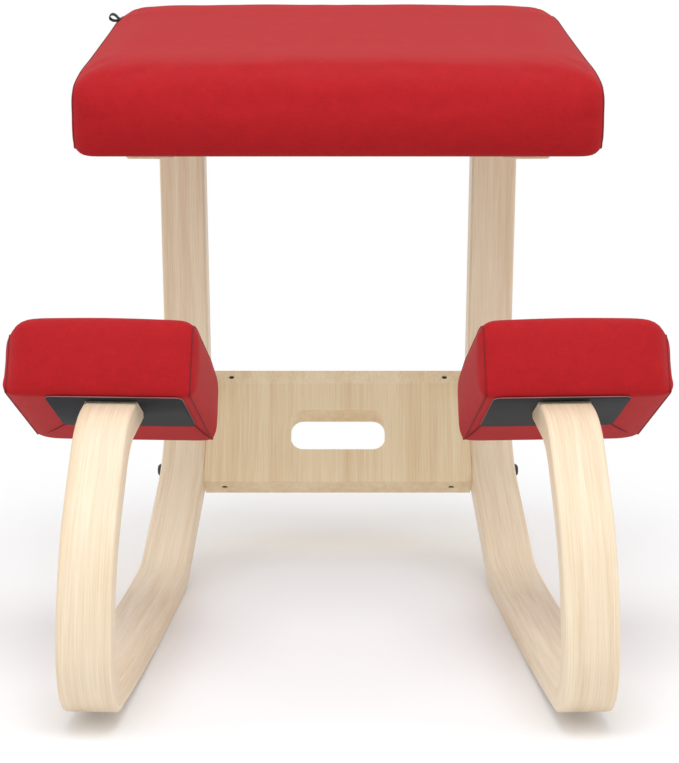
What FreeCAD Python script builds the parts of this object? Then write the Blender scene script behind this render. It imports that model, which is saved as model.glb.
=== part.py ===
"""Rocking kneeling chair: a sloping seat and two knee pads on two bent wooden runners.

Frame: +Z up, the floor at Z = 0, X = 0 midway between the runners, the front at -Y.
Each runner stands in an upright plane of its own, which toes out to the front.
In that plane u runs forward, z up and n outward, with n = 0 on the strip's inner face.
"""

import FreeCAD, Part
import math
import os

Vector = FreeCAD.Vector
Rotation = FreeCAD.Rotation
Placement = FreeCAD.Placement

# Driving dimensions in millimetres and degrees: name, value, what it is.
SIZES = (
    ("strip_width", 41.5, "width of the bent strip, across its plies"),
    ("strip_thick", 24.0, "thickness of the bent strip"),
    ("strip_gap", 263.4, "between the strips' inner faces, level with the frame's reference line"),
    ("toe_out", 4.14, "how far each runner turns out towards the front"),
    ("contact_u", 99.0, "resting point of the rocker, ahead of the reference line"),
    ("rocker_radius", 6000.0, "radius of the rocker's underside, ahead of the resting point"),
    ("rocker_front", 350.0, "length of the rocker ahead of the resting point"),
    ("heel_rocker_radius", 700.0, "radius of the rocker's underside, behind the resting point"),
    ("heel_rocker_length", 30.0, "length of the rocker behind the resting point"),
    ("toe_radius", 53.0, "outer radius of the bend at the front end of the rocker"),
    ("riser_slope", 93.0, "heading of the strip where the toe bend ends"),
    ("riser_radius", 162.0, "outer radius of the riser that curves back from the toe"),
    ("brace_slope", 136.0, "heading of the straight brace above the riser"),
    ("brace_length", 42.0, "length of the straight brace"),
    ("loop_radius", 88.0, "outer radius of the last bend, below the knee pad"),
    ("loop_slope", 175.0, "heading of the strip where it meets the knee pad"),
    ("loop_length", 20.0, "outer face from the last bend to the knee pad"),
    ("tip_thick", 6.0, "blunt end of the strip below the knee pad"),
    ("heel_radius", 120.0, "outer radius of the bend behind the rocker"),
    ("incline_slope", 22.5, "slope of the straight run behind the rocker"),
    ("incline_length", 114.0, "length of that straight run"),
    ("rear_radius", 115.0, "outer radius of the bend at the back"),
    ("upright_lean", 6.9, "lean of the upright towards the front"),
    ("upright_length", 207.5, "straight length of the upright"),
    ("top_radius", 70.0, "outer radius of the bend below the seat"),
    ("seat_slope", 8.0, "slope of the seat, down to the front"),
    ("rail_length", 160.0, "straight rail below the seat"),
    ("rail_planing", 0.3, "wood planed off the rail, so that the seat lies flat on both"),
    ("board_thick", 24.0, "thickness of the crossboard"),
    ("board_length", 122.0, "height of the crossboard along its slope"),
    ("board_slope", 51.5, "slope of the crossboard, rising to the back"),
    ("board_bevel", 18.0, "bevel along the crossboard's upper front edge, up the board"),
    ("board_bevel_depth", 7.3, "depth of that bevel"),
    ("slot_width", 89.0, "width of the hand slot"),
    ("slot_height", 41.4, "height of the hand slot"),
    ("slot_start", 34.0, "lower edge of the hand slot above the board's lower edge"),
    ("slot_corner", 12.0, "corner radius of the hand slot"),
    ("lower_bolt_rise", 17.0, "lower crossboard bolt above the board's lower edge"),
    ("cross_bolt_spacing", 49.0, "between the two crossboard bolts of one runner"),
    ("pin_diameter", 5.0, "pins in the crossboard"),
    ("pin_length", 11.0, "length of those pins"),
    ("pin_recess", 1.0, "how far the pins lie below the wood"),
    ("pin_inset", 19.0, "pins from the ends of the crossboard"),
    ("bolt_diameter", 6.0, "shank of every bolt"),
    ("bolt_head_diameter", 12.0, "head of every bolt"),
    ("bolt_head_height", 4.0, "height of the domed head"),
    ("socket_width", 4.0, "hexagon socket across its flats"),
    ("socket_depth", 2.4, "depth of the hexagon socket"),
    ("cross_bolt_length", 78.0, "shank of a crossboard bolt"),
    ("seat_bolt_length", 36.0, "shank of a seat bolt"),
    ("knee_bolt_length", 23.0, "shank of a knee pad bolt"),
    ("hole_clearance", 0.4, "holes are wider than what passes through them"),
    ("washer_diameter", 16.0, "washers below the seat and the knee pads"),
    ("washer_thick", 1.5, "thickness of a washer"),
    ("barrel_diameter", 10.0, "barrel nut in the crossboard"),
    ("barrel_length", 16.0, "length of a barrel nut"),
    ("barrel_inset", 32.0, "barrel nut from the end of the crossboard"),
    ("tee_flange", 18.0, "flange of a tee nut"),
    ("tee_flange_thick", 1.5, "thickness of that flange"),
    ("tee_barrel", 9.0, "barrel of a tee nut"),
    ("tee_length", 8.0, "length of that barrel below the flange"),
    ("lining_thick", 1.2, "cloth under the seat and the knee pads"),
    ("cover_thick", 1.5, "fabric cover"),
    ("cover_hem", 12.0, "cover folded below the board, inside the lining's edge"),
    ("lining_corner", 6.0, "corner radius of the linings"),
    ("seat_board_thick", 10.0, "plywood board in the seat"),
    ("knee_board_thick", 12.0, "plywood board in a knee pad"),
    ("seat_front_width", 441.0, "width of the seat at its front"),
    ("seat_back_width", 396.0, "width of the seat at its back"),
    ("seat_depth", 325.0, "depth of the seat along its slope"),
    ("seat_height", 70.0, "thickness of the seat at its crown"),
    ("seat_back_reach", 76.0, "seat behind the start of the rails"),
    ("seat_corner", 22.0, "corner radius of the seat in plan"),
    ("seat_board_margin", 16.0, "seat board inside the cushion's edge"),
    ("seat_lining_margin", 18.0, "seat lining inside the cushion's edge"),
    ("seat_bolt_first", 32.0, "rear seat bolt ahead of the rail's start"),
    ("seat_bolt_spacing", 96.0, "between the two seat bolts in one rail"),
    ("seat_bolt_sink", 2.0, "depth of the washer's seat in the rail"),
    ("knee_slope", 24.0, "slope of the knee pads, up to the front"),
    ("knee_width", 155.0, "width of a knee pad"),
    ("knee_depth", 172.0, "depth of a knee pad along its slope"),
    ("knee_height", 68.0, "thickness of a knee pad at its crown"),
    ("knee_side_shift", 9.75, "centre of the knee pad outward of the strip's centre"),
    ("knee_reach", 16.0, "knee pad ahead of the strip's contact"),
    ("knee_corner", 16.0, "corner radius of a knee pad in plan"),
    ("knee_board_margin", 12.0, "knee board inside the cushion's edge"),
    ("knee_lining_width", 108.0, "width of a knee pad's lining"),
    ("knee_lining_depth", 98.0, "depth of a knee pad's lining"),
    ("knee_lining_front", 6.0, "lining behind the front edge of the knee pad"),
    ("knee_lining_inset", 11.0, "lining outward of the knee pad's inner edge"),
    ("knee_bolt_spacing", 20.0, "between the two bolts of one knee pad"),
    ("knee_bolt_back", 26.0, "knee pad bolts behind the strip's contact"),
    ("knee_bolt_wood", 9.0, "wood left above the washers of the knee pad bolts"),
    ("tag_width", 8.0, "plain tag in the seat's left seam"),
    ("tag_reach", 6.0, "how far the tag stands out"),
    ("tag_thick", 1.4, "thickness of the folded tag"),
    ("tag_back", 56.0, "tag ahead of the seat's back edge"),
    ("tag_rise", 54.0, "tag above the seat's underside"),
)

# Side profile of a cushion: share of its height, then how far its outline is drawn in there.
CUSHION_SHAPE = ((0.0, 7.0), (0.1, 2.5), (0.3, 0.0), (0.62, 0.0), (0.8, 3.5), (0.93, 13.0), (1.0, 42.0))

# Diameters of the holes, as expressions, and how far a cutting tool runs past the wood it leaves.
BOLT_HOLE = "sizes.bolt_diameter + sizes.hole_clearance"
WASHER_HOLE = "sizes.washer_diameter + sizes.hole_clearance"
OVERRUN = 1.0

doc = FreeCAD.newDocument("kneeling_chair")
sheet = doc.addObject("Spreadsheet::Sheet", "sizes")
for row, (alias, value, meaning) in enumerate(SIZES, start=1):
    sheet.set("A%d" % row, meaning)
    sheet.set("B%d" % row, str(value))
    sheet.setAlias("B%d" % row, alias)
doc.recompute()

parts = []


def size(name):
    """Value of a driving dimension."""
    return float(sheet.get(name))


def angle(name):
    """A driving angle in radians."""
    return math.radians(size(name))


def bind(thing, **expressions):
    """Tie properties to the sheet's cells."""
    for name, expression in expressions.items():
        thing.setExpression(name, expression)
    return thing


def finish_part(label, thing):
    """Name a finished sub-part, so that it is checked and written out."""
    thing.Label = label
    parts.append(thing)
    return thing


# Places


def frame_at(origin, axis_a, axis_b, axis_c):
    """A placement from its origin and three directions at right angles."""
    matrix = FreeCAD.Matrix(
        axis_a.x, axis_b.x, axis_c.x, origin.x,
        axis_a.y, axis_b.y, axis_c.y, origin.y,
        axis_a.z, axis_b.z, axis_c.z, origin.z,
        0, 0, 0, 1)
    return Placement(matrix)


def shifted(place, x=0.0, y=0.0, z=0.0, turn=None):
    """A placement moved, and perhaps turned, within its own axes."""
    return place.multiply(Placement(Vector(x, y, z), turn or Rotation()))


TURN_DOWN = Rotation(Vector(1, 0, 0), 180)


# Path of the strip


def walk(steps):
    """Follow arcs and straight runs from the resting point; all turns go the same way."""
    point = (0.0, 0.0)
    heading = 0.0
    runs = []
    for kind, amount, end_heading in steps:
        if kind == "arc":
            radius = amount
            centre = (point[0] - radius * math.sin(heading), point[1] + radius * math.cos(heading))
            runs.append(("arc", heading, end_heading, centre, radius))
            heading = end_heading
            point = (centre[0] + radius * math.sin(heading), centre[1] - radius * math.cos(heading))
        else:
            end = (point[0] + amount * math.cos(heading), point[1] + amount * math.sin(heading))
            runs.append(("line", heading, heading, point, end))
            point = end
    return runs


def run_points(run, inset):
    """Start, middle and end of one run, moved into the strip by inset."""
    kind, start_heading, end_heading, first, second = run
    if kind == "line":
        side = (-inset * math.sin(start_heading), inset * math.cos(start_heading))
        start = (first[0] + side[0], first[1] + side[1])
        end = (second[0] + side[0], second[1] + side[1])
        return start, None, end
    points = []
    for heading in (start_heading, (start_heading + end_heading) / 2, end_heading):
        points.append((first[0] + (second - inset) * math.sin(heading),
                       first[1] - (second - inset) * math.cos(heading)))
    return tuple(points)


front_runs = walk((
    ("arc", size("rocker_radius"), size("rocker_front") / size("rocker_radius")),
    ("arc", size("toe_radius"), angle("riser_slope")),
    ("arc", size("riser_radius"), angle("brace_slope")),
    ("line", size("brace_length"), None),
    ("arc", size("loop_radius"), angle("loop_slope")),
    ("line", size("loop_length"), None),
))
rear_runs = walk((
    ("arc", size("heel_rocker_radius"), size("heel_rocker_length") / size("heel_rocker_radius")),
    ("arc", size("heel_radius"), angle("incline_slope")),
    ("line", size("incline_length"), None),
    ("arc", size("rear_radius"), math.pi / 2 + angle("upright_lean")),
    ("line", size("upright_length"), None),
    ("arc", size("top_radius"), math.pi + angle("seat_slope")),
    ("line", size("rail_length"), None),
))
REAR_BEND = rear_runs[3]
RAIL = rear_runs[6]


def ahead(point):
    """Point of the front half of the path, in the runner's plane."""
    return Vector(size("contact_u") + point[0], point[1], 0)


def behind(point):
    """Point of the rear half of the path, in the runner's plane."""
    return Vector(size("contact_u") - point[0], point[1], 0)


# The knee pad's underside passes through the end of the strip's outer face.
knee_contact = ahead(run_points(front_runs[-1], 0.0)[2])
knee_forward = Vector(math.cos(angle("knee_slope")), math.sin(angle("knee_slope")), 0)
knee_up = Vector(-math.sin(angle("knee_slope")), math.cos(angle("knee_slope")), 0)
wedge_angle = math.pi - angle("loop_slope") + angle("knee_slope")
wedge_length = (size("strip_thick") - size("tip_thick")) / math.sin(wedge_angle)
tip_point = knee_contact - knee_forward * wedge_length


def outline_edges():
    """Closed outline of a runner: outer face, planed end, inner face and the rail's end."""
    depth = size("strip_thick")
    edges = []

    def trace(runs, inset, place, backwards):
        ordered = reversed(runs) if backwards else runs
        for run in ordered:
            start, middle, end = run_points(run, inset)
            if backwards:
                start, end = end, start
            if middle is None:
                edges.append([place(start), None, place(end)])
            else:
                edges.append([place(start), place(middle), place(end)])

    trace(rear_runs, 0.0, behind, True)
    trace(front_runs, 0.0, ahead, False)
    heading = angle("loop_slope")
    inward = Vector(-math.sin(heading), math.cos(heading), 0)
    blunt_end = tip_point + inward * size("tip_thick")
    edges.append([knee_contact, None, tip_point])
    edges.append([tip_point, None, blunt_end])
    first_inner = len(edges)
    trace(front_runs, depth, ahead, True)
    edges[first_inner][0] = blunt_end
    trace(rear_runs, depth, behind, False)
    edges.append([edges[-1][2], None, edges[0][0]])
    return edges


def draw(sketch, edges):
    """Add lines and arcs to a sketch."""
    for start, middle, end in edges:
        if middle is None:
            sketch.addGeometry(Part.LineSegment(start, end), False)
        else:
            sketch.addGeometry(Part.Arc(start, middle, end), False)


def rounded_edges(corners, radius):
    """Closed outline of a four-sided figure with rounded corners, anticlockwise."""
    edges = []
    count = len(corners)
    arcs = []
    for index, corner in enumerate(corners):
        to_last = (corners[index - 1] - corner).normalize()
        to_next = (corners[(index + 1) % count] - corner).normalize()
        half = to_last.getAngle(to_next) / 2
        middle = (to_last + to_next).normalize()
        tangent = radius / math.tan(half)
        centre = corner + middle * (radius / math.sin(half))
        arcs.append((corner + to_last * tangent, centre - middle * radius, corner + to_next * tangent))
    for index, (start, middle, end) in enumerate(arcs):
        edges.append((start, middle, end))
        edges.append((end, None, arcs[(index + 1) % count][0]))
    return edges


def plane_of(body, role):
    """Origin plane of a body."""
    return [plane for plane in body.Origin.OriginFeatures if plane.Role == role][0]


def padded_body(name, edges, depth_cell):
    """A body with one sketch on its XY plane, padded to a depth from the sheet."""
    body = doc.addObject("PartDesign::Body", name)
    sketch = body.newObject("Sketcher::SketchObject", name + "_outline")
    sketch.AttachmentSupport = (plane_of(body, "XY_Plane"), [""])
    sketch.MapMode = "FlatFace"
    draw(sketch, edges)
    pad = body.newObject("PartDesign::Pad", name + "_pad")
    pad.Profile = sketch
    bind(pad, Length="sizes." + depth_cell)
    body.Tip = pad
    return body


def box(name, place, length, width, height):
    """A box whose corner is at its placement; its sides are numbers or cell names."""
    solid = doc.addObject("Part::Box", name)
    for side, value in (("Length", length), ("Width", width), ("Height", height)):
        if isinstance(value, str):
            solid.setExpression(side, value)
        else:
            setattr(solid, side, value)
    solid.Placement = place
    return solid


def cylinder(name, place, diameter, height):
    """A cylinder along its placement's third axis; both sizes are expressions."""
    solid = doc.addObject("Part::Cylinder", name)
    bind(solid, Radius="(%s) / 2" % diameter, Height=height)
    solid.Placement = place
    return solid


def cut(name, base, tools):
    """Base without its tools."""
    result = doc.addObject("Part::Cut", name)
    result.Base = base
    result.Tool = tools[0] if len(tools) == 1 else fused(name + "_tools", tools)
    return result


def fused(name, pieces):
    """Several solids made one tool or one piece."""
    result = doc.addObject("Part::MultiFuse", name)
    result.Shapes = pieces
    return result


def mirrored(name, source):
    """The same piece on the right-hand side."""
    result = doc.addObject("Part::Mirroring", name)
    result.Source = source
    result.Normal = Vector(1, 0, 0)
    return result


def group(label, solids):
    """Identical pieces that share one node."""
    result = doc.addObject("Part::Compound", label)
    result.Links = solids
    return finish_part(label, result)


# Frame of the whole chair: Y = 0 lies midway between the toe and the crossboard's upper edge.
# Both crossboard bolts pass through the middle of the rear bend, on a chord as steep as the board.

cos_toe = math.cos(angle("toe_out"))
sin_toe = math.sin(angle("toe_out"))
cos_board = math.cos(angle("board_slope"))
sin_board = math.sin(angle("board_slope"))
bend_middle = size("rear_radius") - size("strip_thick") / 2
half_chord = math.asin(size("cross_bolt_spacing") / 2 / bend_middle)


def bend_point(heading):
    """Point on the middle of the rear bend where the strip has this heading."""
    centre = REAR_BEND[3]
    return behind((centre[0] + bend_middle * math.sin(heading), centre[1] - bend_middle * math.cos(heading)))


cross_bolts = [bend_point(angle("board_slope") + side * half_chord) for side in (-1, 1)]
board_low_y = (-cross_bolts[0].x * cos_toe - size("barrel_inset") / 2 * sin_toe
               - size("lower_bolt_rise") * cos_board)
board_low_z = cross_bolts[0].y - size("lower_bolt_rise") * sin_board
board_top_y = board_low_y + size("board_length") * cos_board + size("board_thick") / 2 * sin_board
toe_u = size("contact_u") + front_runs[1][3][0] + size("toe_radius")
reference_y = (toe_u * cos_toe - board_top_y) / 2

LEFT = frame_at(
    Vector(-size("strip_gap") / 2, reference_y, 0),
    Vector(-sin_toe, -cos_toe, 0),
    Vector(0, 0, 1),
    Vector(-cos_toe, sin_toe, 0))
CROSS = frame_at(
    Vector(0, reference_y + board_low_y, board_low_z),
    Vector(1, 0, 0),
    Vector(0, cos_board, sin_board),
    Vector(0, -sin_board, cos_board))

# The seat's underside lies on the planed rails, and its frame starts at its back edge.
cos_seat = math.cos(angle("seat_slope"))
sin_seat = math.sin(angle("seat_slope"))
rail_start = behind(run_points(RAIL, size("rail_planing"))[0])
rail_centre = LEFT.multVec(Vector(rail_start.x, rail_start.y, size("strip_width") / 2))
SEAT = frame_at(
    Vector(0, rail_centre.y + size("seat_back_reach") * cos_seat,
           rail_centre.z + size("seat_back_reach") * sin_seat),
    Vector(1, 0, 0),
    Vector(0, cos_seat, sin_seat),
    Vector(0, -sin_seat, cos_seat))

# A knee pad's frame starts at its front edge, midway between its sides, on its underside.
knee_centre = size("strip_width") / 2 + size("knee_side_shift")
knee_front = knee_contact + knee_forward * size("knee_reach")
KNEE = LEFT.multiply(frame_at(
    Vector(knee_front.x, knee_front.y, knee_centre),
    Vector(0, 0, -1),
    Vector(-knee_forward.x, -knee_forward.y, 0),
    Vector(knee_up.x, knee_up.y, 0)))


# Fasteners, each along its own third axis, from the underside of its head


def button_bolt(name, place, length_cell):
    """Domed head with a hexagon socket, and a plain shank."""
    head = doc.addObject("Part::Cone", name + "_head")
    bind(head, Radius1="sizes.bolt_head_diameter / 2", Radius2="sizes.bolt_head_diameter / 3",
         Height="sizes.bolt_head_height")
    head.Placement = shifted(place, turn=TURN_DOWN)
    shank = cylinder(name + "_shank", place, "sizes.bolt_diameter", "sizes." + length_cell)
    socket = doc.addObject("Part::Prism", name + "_socket")
    bind(socket, Circumradius="sizes.socket_width / sqrt(3)", Height="sizes.socket_depth + %g" % OVERRUN)
    socket.Polygon = 6
    socket.Placement = shifted(place, z=-size("bolt_head_height") - OVERRUN)
    return cut(name, fused(name + "_blank", [head, shank]), [socket])


def washer(name, place):
    """Flat ring below a head; it lies behind its placement."""
    low = shifted(place, z=-size("washer_thick"))
    disc = cylinder(name + "_disc", low, "sizes.washer_diameter", "sizes.washer_thick")
    hole = cylinder(name + "_hole", shifted(low, z=-OVERRUN), BOLT_HOLE,
                    "sizes.washer_thick + %g" % (2 * OVERRUN))
    return cut(name, disc, [hole])


def tee_nut(name, place):
    """Flange at its placement, with the barrel below it."""
    flange = cylinder(name + "_flange", shifted(place, z=-size("tee_flange_thick")),
                      "sizes.tee_flange", "sizes.tee_flange_thick")
    low = shifted(place, z=-size("tee_flange_thick") - size("tee_length"))
    barrel = cylinder(name + "_barrel", low, "sizes.tee_barrel", "sizes.tee_length")
    hole = cylinder(name + "_hole", shifted(low, z=-OVERRUN), BOLT_HOLE,
                    "sizes.tee_length + sizes.tee_flange_thick + %g" % (2 * OVERRUN))
    return cut(name, fused(name + "_blank", [flange, barrel]), [hole])


# Where the bolts of the seat and the knee pads stand, left side


def on_seat(distance):
    """Placement on the seat's underside, above the middle of the rail, ahead of the rail's start."""
    heading, start = RAIL[1], RAIL[3]
    point = behind((start[0] + distance * math.cos(heading), start[1] + distance * math.sin(heading)))
    inside = SEAT.inverse().multVec(LEFT.multVec(Vector(point.x, point.y, size("strip_width") / 2)))
    return shifted(SEAT, inside.x, inside.y)


seat_places = [on_seat(size("seat_bolt_first") + step * size("seat_bolt_spacing")) for step in (0, 1)]
knee_places = [shifted(KNEE, size("knee_side_shift") + side * size("knee_bolt_spacing") / 2,
                       size("knee_reach") + size("knee_bolt_back")) for side in (-1, 1)]
cushion_lift = size("lining_thick") + size("cover_thick")


def cross_place(bolt, outward):
    """Placement on a crossboard bolt's axis, looking inward, at a distance from the inner face."""
    return shifted(LEFT, bolt.x, bolt.y, outward, TURN_DOWN)


# Runners


def bolt_holes(name, places, below, wood_cell):
    """Through holes along some bolts, with a flat seat for each washer below the wood."""
    tools = []
    for index, place in enumerate(places):
        tools.append(cylinder("%s_hole_%d" % (name, index), shifted(place, z=-below), BOLT_HOLE,
                              "%g" % (below + OVERRUN)))
        tools.append(cylinder("%s_seat_%d" % (name, index), shifted(place, z=-below - size("strip_thick")),
                              WASHER_HOLE, "%g + sizes.strip_thick - %s" % (below, wood_cell)))
    return tools


def make_runners():
    """The bent strips, planed below the seat and drilled."""
    strip = padded_body("strip", outline_edges(), "strip_width")
    strip.Placement = LEFT
    reach = size("rail_length") + size("seat_back_reach")
    planing = box("rail_planing_tool", shifted(SEAT, -size("seat_front_width"), -2 * reach),
                  size("seat_front_width"), 2 * reach, "sizes.strip_thick")
    tools = [planing]
    for index, bolt in enumerate(cross_bolts):
        start = cross_place(bolt, size("strip_width") + OVERRUN)
        tools.append(cylinder("cross_hole_%d" % index, start, BOLT_HOLE,
                              "sizes.strip_width + %g" % (2 * OVERRUN)))
    tools += bolt_holes("rail", seat_places, 2 * size("strip_thick"),
                        "(sizes.strip_thick - sizes.seat_bolt_sink)")
    tools += bolt_holes("wedge", knee_places, 2 * size("strip_thick"), "sizes.knee_bolt_wood")
    left = finish_part("left_runner", cut("left_runner", strip, tools))
    finish_part("right_runner", mirrored("right_runner", left))


# Crossboard


def face_x(place_y):
    """Half the space between the strips' inner faces at a world Y."""
    return size("strip_gap") / 2 - (place_y - reference_y) * math.tan(angle("toe_out"))


def polygon(points):
    """Closed chain of lines through points."""
    return [(points[index - 1], None, points[index]) for index in range(len(points))]


def make_crossboard():
    """The board between the runners: bevelled blank, hand slot, trimmed ends and holes."""
    length = size("board_length")
    half = size("board_thick") / 2
    body = doc.addObject("PartDesign::Body", "board_blank")
    profile = body.newObject("Sketcher::SketchObject", "board_profile")
    profile.AttachmentSupport = (plane_of(body, "YZ_Plane"), [""])
    profile.MapMode = "FlatFace"
    draw(profile, polygon([
        Vector(0, -half, 0),
        Vector(length, -half, 0),
        Vector(length, half - size("board_bevel_depth"), 0),
        Vector(length - size("board_bevel"), half, 0),
        Vector(0, half, 0)]))
    pad = body.newObject("PartDesign::Pad", "board_pad")
    pad.Profile = profile
    pad.SideType = "Symmetric"
    bind(pad, Length="sizes.strip_gap")
    slot_sketch = body.newObject("Sketcher::SketchObject", "slot_outline")
    slot_sketch.AttachmentSupport = (plane_of(body, "XY_Plane"), [""])
    slot_sketch.MapMode = "FlatFace"
    side = size("slot_width") / 2
    low = size("slot_start")
    high = low + size("slot_height")
    draw(slot_sketch, rounded_edges(
        [Vector(-side, low, 0), Vector(side, low, 0), Vector(side, high, 0), Vector(-side, high, 0)],
        size("slot_corner")))
    slot = body.newObject("PartDesign::Pocket", "slot_pocket")
    slot.Profile = slot_sketch
    slot.SideType = "Symmetric"
    bind(slot, Length="2 * sizes.board_thick")
    body.Tip = slot
    body.Placement = CROSS

    reach = size("rear_radius") + size("board_length")
    trim = box("board_trim", shifted(LEFT, cross_bolts[0].x - reach, cross_bolts[0].y - reach),
               2 * reach, 2 * reach, "sizes.strip_width")
    left_tools = [trim]
    left_nuts = []
    left_bolts = []
    for index, bolt in enumerate(cross_bolts):
        name = "cross_bolt_%d" % index
        left_tools.append(cylinder(name + "_bore", cross_place(bolt, OVERRUN), BOLT_HOLE,
                                   "sizes.cross_bolt_length - sizes.strip_width + %g" % (3 * OVERRUN)))
        left_bolts.append(button_bolt(name, cross_place(bolt, size("strip_width")), "cross_bolt_length"))
        axis = CROSS.inverse().multVec(LEFT.multVec(Vector(bolt.x, bolt.y, -size("barrel_inset"))))
        nut_low = shifted(CROSS, axis.x, axis.y, axis.z - size("barrel_length") / 2)
        nut = cylinder("barrel_%d_blank" % index, nut_low, "sizes.barrel_diameter", "sizes.barrel_length")
        nut_hole = cylinder("barrel_%d_hole" % index, cross_place(bolt, 0), BOLT_HOLE,
                            "2 * sizes.barrel_inset")
        left_nuts.append(cut("barrel_%d" % index, nut, [nut_hole]))
        pocket = shifted(CROSS, axis.x, axis.y, -half - OVERRUN)
        left_tools.append(cylinder("barrel_%d_pocket" % index, pocket,
                                   "sizes.barrel_diameter + sizes.hole_clearance / 2",
                                   "%g + sizes.barrel_length" % nut_low.Base.distanceToPoint(pocket.Base)))

    bevel_turn = math.degrees(math.atan2(size("board_bevel_depth"), size("board_bevel")))
    bevel_middle = length - size("board_bevel") / 2
    pin_places = (
        (0.0, 0.0, -90.0),
        (bevel_middle, half - size("board_bevel_depth") / 2, 180.0 - bevel_turn))
    left_pins = []
    for index, (rise, depth, turn) in enumerate(pin_places):
        spot = CROSS.multVec(Vector(0, rise, depth))
        mouth = shifted(CROSS, size("pin_inset") - face_x(spot.y), rise, depth,
                        Rotation(Vector(1, 0, 0), turn))
        left_pins.append(cylinder("pin_%d" % index, shifted(mouth, z=size("pin_recess")),
                                  "sizes.pin_diameter", "sizes.pin_length"))
        left_tools.append(cylinder("pin_%d_hole" % index, shifted(mouth, z=-OVERRUN),
                                   "sizes.pin_diameter + sizes.hole_clearance / 4",
                                   "sizes.pin_length + sizes.pin_recess + %g" % OVERRUN))
    tools = left_tools + [mirrored(tool.Name + "_right", tool) for tool in left_tools]
    finish_part("crossboard", cut("crossboard", body, tools))
    for label, pieces in (("crossboard_bolts", left_bolts), ("crossboard_barrel_nuts", left_nuts),
                          ("crossboard_pins", left_pins)):
        group(label, pieces + [mirrored(piece.Name + "_right", piece) for piece in pieces])


# Cushions


def plan_edges(plan, inset):
    """Rounded outline of a cushion, drawn in by inset; the front is at the lower Y."""
    front_width, back_width, depth, corner, back_y = plan
    front_y = back_y - depth
    return rounded_edges([
        Vector(inset - front_width / 2, front_y + inset, 0),
        Vector(front_width / 2 - inset, front_y + inset, 0),
        Vector(back_width / 2 - inset, back_y - inset, 0),
        Vector(inset - back_width / 2, back_y - inset, 0)], corner)


def cushion_form(name, place, plan, height_cell, skin):
    """Crowned closed form of a cushion, or of its filling where skin is the cover's thickness."""
    low = size("lining_thick") + skin
    high = size(height_cell) - skin
    sections = []
    for index, (share, inset) in enumerate(CUSHION_SHAPE):
        sketch = doc.addObject("Sketcher::SketchObject", "%s_section_%d" % (name, index))
        draw(sketch, plan_edges(plan, inset + skin))
        sketch.Placement = shifted(place, z=low + share * (high - low))
        sections.append(sketch)
    loft = doc.addObject("Part::Loft", name)
    loft.Sections = sections
    loft.Solid = True
    return loft


def drilled_plate(name, place, edges, thick_cell, tools):
    """Flat plate with a rounded outline, and the holes that its tools make."""
    body = padded_body(name + "_blank", edges, thick_cell)
    body.Placement = place
    return cut(name, body, tools)


def make_cushion(prefix, place, plan, board_margin, lining, bolt_places):
    """Cover, foam, board and lining of one cushion, as a dictionary of unfinished pieces."""
    height_cell = prefix + "_height"
    thick_cell = prefix + "_board_thick"
    outer = cushion_form(prefix + "_outer", place, plan, height_cell, 0.0)
    inner = cushion_form(prefix + "_inner", place, plan, height_cell, size("cover_thick"))
    board_place = shifted(place, z=cushion_lift)
    board_edges = plan_edges(plan, board_margin)
    board_tools = []
    lining_tools = []
    for index, bolt_place in enumerate(bolt_places):
        name = "%s_tee_%d" % (prefix, index)
        board_tools.append(cylinder(name + "_bore", bolt_place, "sizes.tee_barrel + sizes.hole_clearance",
                                    "%g + sizes.%s" % (cushion_lift, thick_cell)))
        flange_place = shifted(bolt_place, z=cushion_lift + size(thick_cell) - size("tee_flange_thick"))
        board_tools.append(cylinder(name + "_sink", flange_place, "sizes.tee_flange + sizes.hole_clearance",
                                    "sizes.tee_flange_thick"))
        lining_tools.append(cylinder(name + "_slit", shifted(bolt_place, z=-OVERRUN), BOLT_HOLE,
                                     "sizes.lining_thick + %g" % (2 * OVERRUN)))
    board = drilled_plate(prefix + "_board", board_place, board_edges, thick_cell, board_tools)
    low_x, low_y, width, length = lining
    lining_corners = [Vector(low_x, low_y, 0), Vector(low_x + width, low_y, 0),
                      Vector(low_x + width, low_y + length, 0), Vector(low_x, low_y + length, 0)]
    cloth = drilled_plate(prefix + "_lining", place, rounded_edges(lining_corners, size("lining_corner")),
                          "lining_thick", lining_tools)
    hem = size("cover_hem")
    opening = box(prefix + "_opening", shifted(place, low_x + hem, low_y + hem, size("lining_thick") / 2),
                  width - 2 * hem, length - 2 * hem, "sizes.lining_thick / 2 + sizes.cover_thick")
    full_board = padded_body(prefix + "_board_space", board_edges, thick_cell)
    full_board.Placement = board_place
    return {
        "outer": outer,
        "cover": cut(prefix + "_cover", outer, [inner, opening]),
        "foam": cut(prefix + "_foam", inner, [full_board]),
        "board": board,
        "lining": cloth,
    }


def make_seat():
    """Seat cushion with its board, lining, plain tag and fasteners."""
    plan = (size("seat_front_width"), size("seat_back_width"), size("seat_depth"), size("seat_corner"), 0.0)
    margin = size("seat_lining_margin")
    lining = (margin - size("seat_back_width") / 2, margin - size("seat_depth"),
              size("seat_back_width") - 2 * margin, size("seat_depth") - 2 * margin)
    right_places = [mirror_place(place) for place in seat_places]
    pieces = make_cushion("seat", SEAT, plan, size("seat_board_margin"), lining,
                          seat_places + right_places)
    for piece in ("board", "foam", "cover", "lining"):
        finish_part("seat_" + piece, pieces[piece])
    taper = (size("seat_front_width") - size("seat_back_width")) / 2 / size("seat_depth")
    edge_x = -size("seat_back_width") / 2 - taper * size("tag_back")
    tag = box("tag_blank", shifted(SEAT, edge_x - size("tag_reach"), -size("tag_back") - size("tag_width"),
                                   size("tag_rise")),
              size("tag_reach") + size("seat_corner"), "sizes.tag_width", "sizes.tag_thick")
    finish_part("seat_tag", cut("seat_tag", tag, [pieces["outer"]]))
    seat_depth_in_rail = size("strip_thick") - size("seat_bolt_sink")
    make_fasteners("seat", seat_places, seat_depth_in_rail, "seat_bolt_length")


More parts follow.
